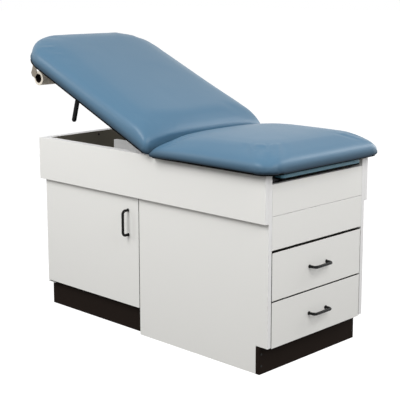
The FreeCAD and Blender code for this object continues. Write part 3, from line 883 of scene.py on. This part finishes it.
@dataclass(frozen=True)
class Fold:
    """Soft valley along a line seen from above, deepest near its start and fading to its end."""

    start: tuple[float, float, float]
    end: tuple[float, float, float]
    width: float
    depth: float
    overrun: float = 0.25
    fade: float = 20.0 * MM

    def press(self, co: np.ndarray) -> np.ndarray:
        """Lowers the points near the line: a bell across it, a squared cosine along it.

        Args:
            co: points.

        Returns:
            The moved points.
        """
        start = np.array(self.start)
        along = (np.array(self.end) - start)[:2]
        length = np.linalg.norm(along)
        along = along / length
        offset = co[:, :2] - start[:2]
        place = offset @ along / length
        aside = offset @ np.array([-along[1], along[0]])
        fade = np.cos(np.clip(place, 0.0, 1.0) * math.pi / 2) ** 2
        within = place > -self.overrun
        high = np.clip((co[:, 2] - (start[2] - self.fade)) / self.fade, 0.0, 1.0)
        moved = co.copy()
        moved[:, 2] -= self.depth * fade * within * high * np.exp(-(aside / self.width) ** 2)
        return moved


@dataclass
class Cushion:
    """Vinyl cushion over a plywood base: rounded sides that roll over into a low crown.

    The surface is a stack of rounded rectangles.  From the widest row the section climbs as a quarter of
    a rounded square; the crease end leans back so that it closes on its neighbour when the back is at rest.
    """

    name: str
    node: str
    body: Body
    outward: float
    length: float
    far_corner: float
    far_share: float
    bottom: float
    angle: float = 0.0
    half: float = 343.0 * MM
    thick: float = 118.0 * MM
    edge: float = 24.0 * MM
    power: float = 2.0
    base: float = 12.0 * MM
    base_inset: float = 14.0 * MM
    base_lip: float = 1.0 * MM
    under_inset_shares: tuple[float, ...] = (1.0, 0.6, 0.3)
    edge_height_shares: tuple[float, ...] = (0.0, 0.2, 0.45, 0.7)
    edge_insets: tuple[float, ...] = (15.0 * MM, 8.5 * MM, 3.8 * MM, 1.0 * MM)
    rows_up: int = 60
    row_spacing: float = 1.7
    crease_clearance: float = 1.2 * MM
    crease_corner: float = 24.0 * MM
    crease_lean: float = BACK_ANGLE / 2
    dip: float = 0.0
    dip_reach: float = 170.0 * MM
    bulge: float = 0.0
    bulge_reach: float = 450.0 * MM
    # Height over which the painted rim shade fades out.
    rim_shade_height: float = 46.0 * MM
    shrink: float = 0.5 * MM
    voxel: float = 8.0 * MM
    swell: float = 6.0 * MM
    held_margin: float = 2.0 * MM
    pressure: float = 4.0
    frames: int = 20
    crown_share: float = 0.9
    crown_passes: int = 40
    fill: float = 0.85

    def rows(self) -> tuple[np.ndarray, np.ndarray]:
        """Works out the rows from the middle of the underside, round the edge, to the middle of the top.

        Returns:
            Heights above the underside, and insets from the widest outline.
        """
        share = np.linspace(0, 1, self.rows_up) ** self.row_spacing
        climb = (1 - (1 - share) ** self.power) ** (1 / self.power)
        under = np.array(self.under_inset_shares) * self.half
        inset = np.concatenate([under, [self.base_inset + self.base_lip, self.base_inset], self.edge_insets,
                                share * self.half])
        height = np.concatenate([np.full_like(under, self.base), [self.base, 0.0],
                                 np.array(self.edge_height_shares) * self.edge,
                                 self.edge + (self.thick - self.edge) * climb])
        return height, inset

    def surface(self) -> tuple[np.ndarray, np.ndarray]:
        """Works out the closed surface: a rounded rectangle for each row, lowered or raised near the crease.

        Returns:
            Points in the frame, and quads.
        """
        height, inset = self.rows()
        half = self.half - self.shrink - inset * (self.half - self.shrink) / self.half
        kept = half / self.half
        lean = np.maximum(height - self.base, 0.0) * math.tan(self.crease_lean)
        near = self.crease_clearance / 2 + lean
        far = self.length - self.shrink - inset * self.far_share
        ring = ring_of(near, far, half, self.crease_corner * kept, self.far_corner * kept)
        dipped = self.dip * np.clip(1 - ring[..., 0] / self.dip_reach, 0.0, 1.0) ** 2
        bulged = self.bulge * np.clip(1 - ring[..., 0] / self.bulge_reach, 0.0, 1.0) ** 2
        rise = height[:, None] * (1 - self.shrink / self.thick) * (1 - dipped + bulged)
        points = np.stack([CREASE_X + self.outward * ring[..., 0], ring[..., 1], self.bottom + rise], axis=-1)
        quads = grid_faces(*ring.shape[:2], True)
        if self.outward < 0:
            quads = quads[:, ::-1]
        return points.reshape(-1, 3), quads

    def build(self) -> bpy.types.Object:
        """Makes the cushion, lets it swell, creases it and sets it at its resting angle.

        Returns:
            The new object.
        """
        points, quads = self.surface()
        piece = mesh_piece(self.name, points, quads, [VINYL], self.body, [self.node])
        weld(piece, SKIN_WELD)
        remesh(piece, self.voxel)
        self.inflate(piece)
        self.ease_crown(piece)
        self.crease(piece)
        co = read_points(piece)
        # Rim mask for the painted shade: 0 at the underside, rising to 1 at the rim height.
        rim = piece.data.attributes.new(RimShadeVinyl.mask, "FLOAT", "POINT")
        rim.data.foreach_set("value", np.clip((co[:, 2] - self.bottom) / self.rim_shade_height, 0.0, 1.0))
        write_points(piece, turned(co, self.angle))
        finer = piece.modifiers.new("Fine Skin", "SUBSURF")
        finer.levels = finer.render_levels = 1
        apply_modifiers(piece)
        piece.data.polygons.foreach_set("use_smooth", np.ones(len(piece.data.polygons), bool))
        return piece

    def inflate(self, piece: bpy.types.Object) -> None:
        """Lets the skin swell under a little pressure and keeps each point within its cap.

        Args:
            piece: the cushion, flat, as a closed mesh.
        """
        before = read_points(piece)
        held = piece.vertex_groups.new(name="held")
        low = np.nonzero(before[:, 2] < self.bottom + self.base + self.held_margin)[0]
        held.add(low.tolist(), 1.0, "REPLACE")
        cloth = piece.modifiers.new("Swell", "CLOTH")
        cloth.settings.use_pressure = True
        cloth.settings.uniform_pressure_force = self.pressure
        cloth.settings.vertex_group_mass = held.name
        cloth.settings.effector_weights.gravity = 0.0
        cloth.point_cache.frame_start = 1
        cloth.point_cache.frame_end = self.frames
        scene = bpy.context.scene
        for frame in range(1, self.frames + 1):
            scene.frame_set(frame)
        settled = piece.evaluated_get(bpy.context.evaluated_depsgraph_get())
        after = np.zeros(len(before) * 3)
        settled.data.vertices.foreach_get("co", after)
        piece.modifiers.remove(cloth)
        piece.vertex_groups.remove(held)
        scene.frame_set(1)
        move = after.reshape(-1, 3) - before
        size = np.linalg.norm(move, axis=1, keepdims=True)
        capped = move * np.minimum(1.0, self.swell / np.maximum(size, LEAST_MOVE))
        write_points(piece, before + capped)

    def ease_crown(self, piece: bpy.types.Object) -> None:
        """Smooths the top of the crown, where the rows close in on the middle.

        Args:
            piece: the cushion, flat.
        """
        height = read_points(piece)[:, 2] - self.bottom
        crown = piece.vertex_groups.new(name="crown")
        crown.add(np.nonzero(height > self.crown_share * self.thick)[0].tolist(), 1.0, "REPLACE")
        eased = piece.modifiers.new("Ease Crown", "SMOOTH")
        eased.factor = SMOOTH_FACTOR
        eased.iterations = self.crown_passes
        eased.vertex_group = crown.name
        apply_modifiers(piece)
        piece.vertex_groups.remove(piece.vertex_groups["crown"])

    def crease(self, piece: bpy.types.Object) -> None:
        """Presses the soft corner folds into the skin, running in from the corners.

        Args:
            piece: the cushion, flat.
        """
        co = read_points(piece)
        for fold in self.folds():
            co = fold.press(co)
        write_points(piece, co)

    def folds(self) -> list[Fold]:
        """Lists the folds on the flat cushion."""
        return []


@dataclass
class SeatCushion(Cushion):
    """Seat, whose front rolls over like a waterfall with a soft fold at each front corner."""

    name: str = "seat_cushion"
    node: str = "seat_pad"
    body: Body = Body.CABINET
    outward: float = 1.0
    length: float = 613.0 * MM
    far_corner: float = 80.0 * MM
    far_share: float = 0.9
    bottom: float = BODY_TOP
    thick: float = 101.0 * MM
    edge: float = 18.0 * MM
    power: float = 2.57
    dip: float = 0.40
    dip_reach: float = 257.0 * MM
    fold_width: float = 15.0 * MM
    fold_depth: float = 6.0 * MM
    fold_start: float = 20.0 * MM
    fold_reach: float = 88.0 * MM
    fold_height_share: float = 0.42

    def folds(self) -> list[Fold]:
        """Lists a fold from each front corner towards the middle of the seat.

        Returns:
            The two folds.
        """
        low = self.bottom + self.fold_height_share * self.thick
        top = self.bottom + self.thick
        front = CREASE_X + self.length
        return [Fold((front - self.fold_start, side * (self.half - self.fold_start), low),
                     (front - self.fold_reach, side * (self.half - self.fold_reach), top),
                     self.fold_width, self.fold_depth) for side in (-1.0, 1.0)]


@dataclass
class BackCushion(Cushion):
    """Back, with a broad rounded head end, built flat and turned to its resting angle."""

    name: str = "back_cushion"
    node: str = "back_pad"
    body: Body = Body.BACK
    outward: float = -1.0
    length: float = 885.0 * MM
    far_corner: float = 168.0 * MM
    far_share: float = 0.5
    bottom: float = BACK_BOTTOM
    angle: float = BACK_ANGLE
    thick: float = 106.0 * MM
    edge: float = 29.0 * MM
    power: float = 3.7
    dip: float = 0.53
    dip_reach: float = 115.0 * MM
    bulge: float = 0.115
    bend_reach: float = 120.0 * MM

    def join(self, piece: bpy.types.Object) -> None:
        """Takes the finished cushion off the back's body and fixes it where it rests.

        Args:
            piece: the finished cushion.
        """
        piece.parent = None
        del piece["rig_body"]
        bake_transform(piece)


def ring_of(near: np.ndarray, far: np.ndarray, half: np.ndarray, near_corner: np.ndarray,
            far_corner: np.ndarray, corner_steps: int = 14, side_steps: int = 40) -> np.ndarray:
    """Works out rows of rounded rectangles, each as four quarter circles joined by straight sides.

    Args:
        near: start of each row along the cushion.
        far: end of each row.
        half: half width of each row.
        near_corner: corner radius at the start.
        far_corner: corner radius at the end.
        corner_steps: points on a corner.
        side_steps: points on a side.

    Returns:
        Array of rows, points and (along, across), anticlockwise from the far end's right corner.
    """
    quarter = np.linspace(0, math.pi / 2, corner_steps)
    spans = []
    for sign_x, sign_y, radius, start in ((1, -1, far_corner, -math.pi / 2), (1, 1, far_corner, 0.0),
                                          (-1, 1, near_corner, math.pi / 2), (-1, -1, near_corner, math.pi)):
        radius = np.minimum(radius, half)
        middle_x = (far - radius) if sign_x > 0 else (near + radius)
        middle_y = sign_y * (half - radius)
        spans.append(np.stack([middle_x[:, None] + radius[:, None] * np.cos(start + quarter),
                               middle_y[:, None] + radius[:, None] * np.sin(start + quarter)], axis=-1))
    joined = []
    share = np.linspace(0, 1, side_steps)[1:-1]
    for index, span in enumerate(spans):
        after = spans[(index + 1) % len(spans)]
        joined.append(span)
        joined.append(span[:, -1:, :] + (after[:, :1, :] - span[:, -1:, :]) * share[None, :, None])
    return np.concatenate(joined, axis=1)


def read_points(piece: bpy.types.Object) -> np.ndarray:
    """Reads a mesh's points.

    Args:
        piece: the piece.

    Returns:
        The points as one array.
    """
    co = np.zeros(len(piece.data.vertices) * 3)
    piece.data.vertices.foreach_get("co", co)
    return co.reshape(-1, 3)


def write_points(piece: bpy.types.Object, co: np.ndarray) -> None:
    """Puts an array of points back into a mesh."""
    piece.data.vertices.foreach_set("co", np.ascontiguousarray(co, np.float32).ravel())
    piece.data.update()


def apply_modifiers(piece: bpy.types.Object) -> None:
    """Keeps the shape that a piece's modifiers give and removes them.

    Args:
        piece: the piece.
    """
    bpy.context.view_layer.update()
    settled = piece.evaluated_get(bpy.context.evaluated_depsgraph_get())
    mesh = bpy.data.meshes.new_from_object(settled)
    old = piece.data
    piece.modifiers.clear()
    piece.data = mesh
    mesh.name = old.name
    bpy.data.meshes.remove(old)


def remesh(piece: bpy.types.Object, voxel: float, passes: int = 3) -> None:
    """Rebuilds a closed mesh from even cells, then eases the cells' steps.

    Args:
        piece: the piece.
        voxel: cell size.
        passes: times that the steps are eased.
    """
    even = piece.modifiers.new("Even Cells", "REMESH")
    even.mode = "VOXEL"
    even.voxel_size = voxel
    even.use_smooth_shade = True
    soft = piece.modifiers.new("Soft", "SMOOTH")
    soft.factor = SMOOTH_FACTOR
    soft.iterations = passes
    apply_modifiers(piece)


@dataclass
class LegRest:
    """Thin padded panel in the slot under the seat, on its stiffener."""

    roll: float = 6.0 * MM
    roll_steps: int = 8
    corner: float = 12.0 * MM
    corner_steps: int = 8
    side_steps: int = 24
    under_inset: float = 2.0 * MM
    under_roll_share: float = 0.3
    shoulder_share: float = 1.15
    end_share: float = 0.6
    ridge: float = 1.0 * MM
    crown_inset_shares: tuple[float, ...] = (0.2, 0.5)
    crown_drop_shares: tuple[float, ...] = (0.09, 0.03, 0.0)
    fill: float = 0.9

    def build(self, nodes: dict[str, bpy.types.Object]) -> bpy.types.Object:
        """Makes the panel as stacked rounded rectangles with a rolled edge.

        Args:
            nodes: frame nodes by name.

        Returns:
            The new object.
        """
        low, high = (np.array(corner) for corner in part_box("leg_rest_pad"))
        turn = np.linspace(0, math.pi / 2, self.roll_steps)
        thick = high[2] - low[2]
        wide = (high[1] - low[1]) / 2
        middle = wide - self.ridge
        draw = self.roll * (1 - np.cos(turn))
        inset = np.concatenate([[middle, self.under_inset], draw[::-1] * self.under_roll_share, draw,
                                np.array(self.crown_inset_shares) * wide, [middle]])
        rise = np.concatenate([[0.0, 0.0], self.roll * self.under_roll_share * (1 - np.sin(turn[::-1])),
                               thick - self.roll * (self.shoulder_share - np.sin(turn)),
                               thick - self.roll * np.array(self.crown_drop_shares)])
        half = wide - inset
        corner = np.full_like(half, self.corner)
        end = inset * self.end_share
        ring = ring_of(low[0] + end, high[0] - end, half, corner, corner, self.corner_steps, self.side_steps)
        level = np.broadcast_to(low[2] + rise[:, None], ring.shape[:2])
        points = np.stack([ring[..., 0], ring[..., 1], level], axis=-1)
        piece = mesh_piece("leg_rest_cushion", points.reshape(-1, 3), grid_faces(*ring.shape[:2], True),
                           [VINYL_DEEP], Body.LEG_REST, ["leg_rest_pad"])
        weld(piece, SKIN_WELD)
        # The leg rest board takes the near-black finish as painted shade in the slot.
        dress(nodes["leg_rest_board"], PAINTED_SHADE_BOARD)
        for side in ("near", "far"):
            dress(nodes["leg_rest_runner_" + side], BLACK_PLASTIC)
        return piece


# Hardware under the back


def back_point(along: float, across: float, drop: float) -> np.ndarray:
    """Returns a point of the resting back: along from the hinge line, across, and down from the line."""
    return turned(np.array([[CREASE_X - along, across, HINGE_Z - drop]]), BACK_ANGLE)[0]


@dataclass
class PaperRoll:
    """Roll of couch paper on its card core between two strap holders."""

    along: float = 776.3 * MM
    drop: float = 84.0 * MM
    half: float = 266.5 * MM
    radius: float = 30.0 * MM
    core_radius: float = 19.0 * MM
    core_wall: float = 2.0 * MM
    strap_lead: float = 30.0 * MM
    strap_width: float = 22.0 * MM
    strap_steel: float = 2.5 * MM
    strap_foot: float = 40.0 * MM
    strap_top: float = BACK_BOTTOM
    strap_tail: float = 10.0 * MM
    strap_tip: float = 10.0 * MM
    strap_relief: float = 1.0 * MM
    face_clearance: float = 0.3 * MM
    hub_clearance: float = 0.2 * MM
    hub_depth: float = 20.0 * MM
    hub_lip: float = 1.0 * MM
    hub_sides: int = 40
    bore_depth: float = 17.0 * MM
    bore_taper: float = 2.5 * MM
    paper_clearance: float = 0.1 * MM
    paper_edge: float = 0.8 * MM
    paper_sides: int = 72
    core_sides: int = 48

    def holder(self, name: str, sign: float) -> bpy.types.Object:
        """Makes one holder: a strap that bends under the back, and a hollow hub in the core's end.

        Args:
            name: side of the table that it stands on.
            sign: -1 on the near side, 1 on the far side.

        Returns:
            The new object.
        """
        x, z = CREASE_X - self.along, HINGE_Z - self.drop
        face = sign * (self.half + self.face_clearance)
        outer = face + sign * self.strap_steel
        cut = self.core_radius * math.sqrt(0.5)
        lead = x - self.strap_lead
        tail = lead - self.strap_width
        low = z - self.strap_tail
        outline = np.array([[x - cut, z + cut], [x - self.core_radius + self.strap_relief, low],
                            [lead - self.strap_tip, low], [tail, low + self.strap_tip],
                            [tail, self.strap_top], [lead, self.strap_top],
                            [lead, z + self.strap_width + cut]])
        points, faces = prism(outline, Axis.Y, min(face, outer), max(face, outer))
        inward, outward = sorted((outer - sign * self.strap_foot, outer))
        plate = np.array([[tail, inward], [lead, inward], [lead, outward], [tail, outward]])
        plate_points, plate_faces = prism(plate, Axis.Z, self.strap_top - self.strap_steel, self.strap_top)
        rim = self.core_radius - self.hub_clearance
        inner = rim - self.core_wall
        steel, lip = self.strap_steel, self.hub_lip
        profile = np.array([[0.0, -self.bore_depth], [inner - self.bore_taper, -self.bore_depth],
                            [inner - lip, steel], [rim - lip, steel], [rim, steel - lip], [rim, 0.0],
                            [inner, 0.0], [inner, -self.hub_depth], [0.0, -self.hub_depth]])
        hub_points, hub_faces = lathe(profile, np.array([x, face, z]), np.array([0.0, sign, 0.0]),
                                      self.hub_sides)
        faces = [list(f) for f in faces]
        faces += [[i + len(points) for i in f] for f in plate_faces]
        strap_count = len(faces)
        faces += (hub_faces + len(points) + len(plate_points)).tolist()
        points = turned(np.concatenate([points, plate_points, hub_points]), BACK_ANGLE)
        index = np.arange(len(faces)) >= strap_count
        node = "paper_holder_" + name
        # The hub takes the near-black finish as painted shade, to read as a dark hole.
        piece = mesh_piece(node + "_strap", points, faces, [BRONZE_STEEL, HUB_PAINTED_SHADE], Body.BACK, [node],
                           smooth=False, material_index=index)
        weld(piece)
        shade_by_angle(piece)
        return piece

    def build(self) -> list[bpy.types.Object]:
        """Turns the roll and the core and makes the holders.

        Returns:
            The new pieces.
        """
        middle = back_point(self.along, 0.0, self.drop)
        axis = np.array([0.0, 1.0, 0.0])
        finish = WoundPaperFinish("Wound White Paper", "paper", (242, 233, 217), 0.85, mottle_amount=0.03,
                                  centre=tuple(middle.tolist()))
        start, end, edge = -self.half, self.half, self.paper_edge
        bore = self.core_radius + self.paper_clearance
        roll_profile = np.array([[bore, start], [self.radius - edge, start], [self.radius, start + edge],
                                 [self.radius, end - edge], [self.radius - edge, end], [bore, end],
                                 [bore, start]])
        points, quads = lathe(roll_profile, middle, axis, self.paper_sides)
        roll = mesh_piece("paper_roll_wound", points, quads, [finish], Body.PAPER, ["paper_roll"],
                          smooth=False)
        weld(roll)
        inner = self.core_radius - self.core_wall
        core_profile = np.array([[inner, start], [self.core_radius, start], [self.core_radius, end],
                                 [inner, end], [inner, start]])
        points, quads = lathe(core_profile, middle, axis, self.core_sides)
        core = mesh_piece("paper_core_tube", points, quads, [CARD], Body.PAPER, ["paper_core"], smooth=False)
        weld(core)
        for piece in (roll, core):
            shade_by_angle(piece)
        return [roll, core, self.holder("near", -1.0), self.holder("far", 1.0)]


def shade_by_angle(piece: bpy.types.Object, limit: float = math.radians(35)) -> None:
    """Shades a piece smooth but for edges sharper than a limit."""
    piece.data.polygons.foreach_set("use_smooth", np.ones(len(piece.data.polygons), bool))
    piece.data.set_sharp_from_angle(angle=limit)


@dataclass
class ReleaseLever:
    """Black lever with a rounded grip under the near edge of the back."""

    along: float = 536.8 * MM
    side: float = -245.0 * MM
    drop: float = 27.5 * MM
    lean: float = math.radians(7.0)
    radius: float = 9.8 * MM
    neck: float = 34.0 * MM
    reach: float = 131.0 * MM
    shoulder: float = 3.0 * MM
    shoulder_steps: int = 6
    dome_steps: int = 10
    sides: int = 40

    def build(self, nodes: dict[str, bpy.types.Object]) -> list[bpy.types.Object]:
        """Turns the grip and dresses the bracket, pin and shank.

        Args:
            nodes: frame nodes by name.

        Returns:
            The new pieces.
        """
        pivot = back_point(self.along, self.side, self.drop)
        direction = BACK_ANGLE - self.lean
        axis = np.array([-math.sin(direction), 0.0, -math.cos(direction)])
        quarter = math.pi / 2
        dome = arc((0.0, self.reach - self.radius), self.radius, 0.0, quarter, self.dome_steps)
        shoulder = arc((self.radius - self.shoulder, self.neck + self.shoulder), self.shoulder, -quarter, 0.0,
                       self.shoulder_steps)
        profile = np.concatenate([[[0.0, self.neck]], shoulder, dome])
        points, quads = lathe(profile, pivot, axis, self.sides)
        grip = mesh_piece("lever_grip_round", points, quads, [BLACK_PLASTIC], Body.LEVER, ["lever_grip"])
        weld(grip)
        dress(nodes["lever_bracket"], BLACK_METAL)
        dress(nodes["lever_pin"], ZINC)
        dress(nodes["lever_shank"], BLACK_METAL)
        return [grip]


@dataclass
class Fittings:
    """Boards, steel fittings and screws that keep their frame shapes."""

    # The seat and back boards take the near-black finish as painted shade.
    finishes: dict[str, Finish] = field(default_factory=lambda: {
        "seat_board": PAINTED_SHADE_BOARD, "back_board": PAINTED_SHADE_BOARD, "seat_hinge_leaves": ZINC,
        "back_hinge_leaves": ZINC, "hinge_pins": ZINC, "gas_spring_cylinder": BLACK_METAL,
        "gas_spring_rod": CHROME, "gas_spring_foot_pin": ZINC, "gas_spring_bracket": BLACK_METAL,
        "drawer_slide_channels": ZINC, "screws": BLACK_METAL})

    def build(self, nodes: dict[str, bpy.types.Object]) -> None:
        """Dresses every fitting.

        Args:
            nodes: frame nodes by name.
        """
        for node, finish in self.finishes.items():
            dress(nodes[node], finish)


def dress(node: bpy.types.Object, finish: Finish) -> None:
    """Gives a frame node its finish."""
    node.data.materials.clear()
    node.data.materials.append(finish.material())


# Studio


@dataclass(frozen=True)
class Lamp:
    """One square soft lamp: where it hangs, what it points at, its side and its watts."""

    name: str
    place: tuple[float, float, float]
    target: tuple[float, float, float]
    size: float
    power: float

    def hang(self) -> None:
        """Adds the lamp to the scene, turned towards its target."""
        data = bpy.data.lights.new(self.name, "AREA")
        data.size = self.size
        data.energy = self.power
        lamp = bpy.data.objects.new(self.name, data)
        lamp.location = self.place
        lamp.rotation_euler = (Vector(self.target) - Vector(self.place)).to_track_quat("-Z", "Y").to_euler()
        bpy.context.scene.collection.objects.link(lamp)


@dataclass
class Studio:
    """White floor that keeps a soft shadow, even light, and the camera at the photograph's angle."""

    lamps: ClassVar[tuple[Lamp, ...]] = (
        Lamp("key", (-0.1, -2.7, 3.0), (0.0, 0.0, 0.5), 1.8, 85.0),
        Lamp("end_fill", (2.8, -0.5, 2.3), (0.5, 0.0, 0.6), 2.0, 53.0),
        Lamp("far_fill", (1.0, 3.8, 1.2), (-0.1, 0.2, 0.45), 2.0, 45.0),
        Lamp("head_fill", (-2.6, -2.4, 1.9), (-0.3, -0.1, 0.8), 1.0, 20.0),
        Lamp("far_edge", (1.9, 3.2, 2.9), (0.5, 0.0, 0.8), 1.4, 36.0))
    floor_half: float = 40.0
    floor_color: tuple[float, float, float, float] = (0.15, 0.145, 0.14, 1.0)
    floor_glow: float = 0.95
    shadow_color: tuple[float, float, float, float] = (0.25, 0.25, 0.25, 1.0)
    camera_place: tuple[float, float, float] = (2.8967, -2.9353, 1.3776)
    camera_yaw: float = math.radians(44.021)
    camera_pitch: float = math.radians(-9.693)
    lens: float = 93.45
    sensor: float = 36.0
    shift: tuple[float, float] = (-0.0180, -0.1)
    clip_end: float = 100.0
    world_color: tuple[float, float, float, float] = (0.96, 0.98, 1.0, 1.0)
    world_strength: float = 0.33

    def build(self) -> None:
        """Sets up floor, world, lamps and camera."""
        bpy.context.scene.view_settings.view_transform = "Standard"
        self.floor()
        self.world()
        for lamp in self.lamps:
            lamp.hang()
        self.camera()

    def floor(self) -> None:
        """Lays a plain floor, which the camera sees nearly white with the object's shadow kept."""
        half = self.floor_half
        mesh = bpy.data.meshes.new("floor")
        corners = [(-half, -half, 0.0), (half, -half, 0.0), (half, half, 0.0), (-half, half, 0.0)]
        mesh.from_pydata(corners, [], [(0, 1, 2, 3)])
        floor = bpy.data.objects.new("floor", mesh)
        bpy.context.scene.collection.objects.link(floor)
        material = bpy.data.materials.new("Pale Floor")
        material.use_nodes = True
        nodes, links = material.node_tree.nodes, material.node_tree.links
        nodes.clear()
        result = nodes.new("ShaderNodeOutputMaterial")
        seen = nodes.new("ShaderNodeAddShader")
        glow = nodes.new("ShaderNodeEmission")
        glow.inputs["Strength"].default_value = self.floor_glow
        shadow = nodes.new("ShaderNodeBsdfDiffuse")
        shadow.inputs["Color"].default_value = self.shadow_color
        plain = nodes.new("ShaderNodeBsdfDiffuse")
        plain.inputs["Color"].default_value = self.floor_color
        links.new(glow.outputs[0], seen.inputs[0])
        links.new(shadow.outputs[0], seen.inputs[1])
        choice = nodes.new("ShaderNodeMixShader")
        links.new(self.seen_ray(nodes, links), choice.inputs[0])
        links.new(plain.outputs[0], choice.inputs[1])
        links.new(seen.outputs[0], choice.inputs[2])
        links.new(choice.outputs[0], result.inputs["Surface"])
        mesh.materials.append(material)

    def seen_ray(self, nodes: bpy.types.Nodes, links: bpy.types.NodeLinks) -> bpy.types.NodeSocket:
        """Adds nodes that tell the rays that see the background from those that only light the object.

        Args:
            nodes: nodes of the floor's or the world's tree.
            links: links of the same tree.

        Returns:
            A socket that is 1 for camera, glossy and transmission rays.
        """
        path = nodes.new("ShaderNodeLightPath")
        first = nodes.new("ShaderNodeMath")
        first.operation = "MAXIMUM"
        links.new(path.outputs["Is Camera Ray"], first.inputs[0])
        links.new(path.outputs["Is Glossy Ray"], first.inputs[1])
        second = nodes.new("ShaderNodeMath")
        second.operation = "MAXIMUM"
        links.new(first.outputs[0], second.inputs[0])
        links.new(path.outputs["Is Transmission Ray"], second.inputs[1])
        return second.outputs[0]

    def world(self) -> None:
        """Fills the scene with even light and shows plain white behind it."""
        world = bpy.data.worlds.new("studio")
        bpy.context.scene.world = world
        world.use_nodes = True
        nodes, links = world.node_tree.nodes, world.node_tree.links
        nodes.clear()
        result = nodes.new("ShaderNodeOutputWorld")
        even = nodes.new("ShaderNodeBackground")
        even.inputs["Color"].default_value = self.world_color
        even.inputs["Strength"].default_value = self.world_strength
        white = nodes.new("ShaderNodeBackground")
        white.inputs["Strength"].default_value = 1.0
        white.inputs["Color"].default_value = (1, 1, 1, 1)
        choice = nodes.new("ShaderNodeMixShader")
        links.new(self.seen_ray(nodes, links), choice.inputs[0])
        links.new(even.outputs[0], choice.inputs[1])
        links.new(white.outputs[0], choice.inputs[2])
        links.new(choice.outputs[0], result.inputs["Surface"])

    def camera(self) -> None:
        """Places the camera."""
        data = bpy.data.cameras.new("camera")
        data.lens = self.lens
        data.sensor_width = self.sensor
        data.shift_x, data.shift_y = self.shift
        data.clip_end = self.clip_end
        camera = bpy.data.objects.new("camera", data)
        camera.location = self.camera_place
        level = math.cos(self.camera_pitch)
        forward = Vector((-math.sin(self.camera_yaw) * level, math.cos(self.camera_yaw) * level,
                          math.sin(self.camera_pitch)))
        camera.rotation_euler = forward.to_track_quat("-Z", "Y").to_euler()
        bpy.context.scene.collection.objects.link(camera)
        bpy.context.scene.camera = camera


def report(pieces: Sequence[bpy.types.Object]) -> None:
    """Logs each finished piece with its number of faces."""
    for piece in pieces:
        LOG.info("%s: %d faces", piece.name, len(piece.data.polygons))


def main() -> None:
    """Builds the sub-assemblies in order."""
    logging.basicConfig(level=logging.INFO, format="%(name)s: %(message)s")
    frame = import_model()
    nodes = frame["nodes"]
    report(Cabinet().build(nodes))
    report(Door().build(nodes))
    report(Drawer("upper", Body.DRAWER_UPPER).build(nodes))
    report(Drawer("lower", Body.DRAWER_LOWER).build(nodes))
    report([SeatCushion().build()])
    back = BackCushion()
    cushion = back.build()
    back.join(cushion)
    report([cushion, LegRest().build(nodes)])
    report(PaperRoll().build())
    report(ReleaseLever().build(nodes))
    Fittings().build(nodes)
    Studio().build()


if __name__ == "__main__":
    main()
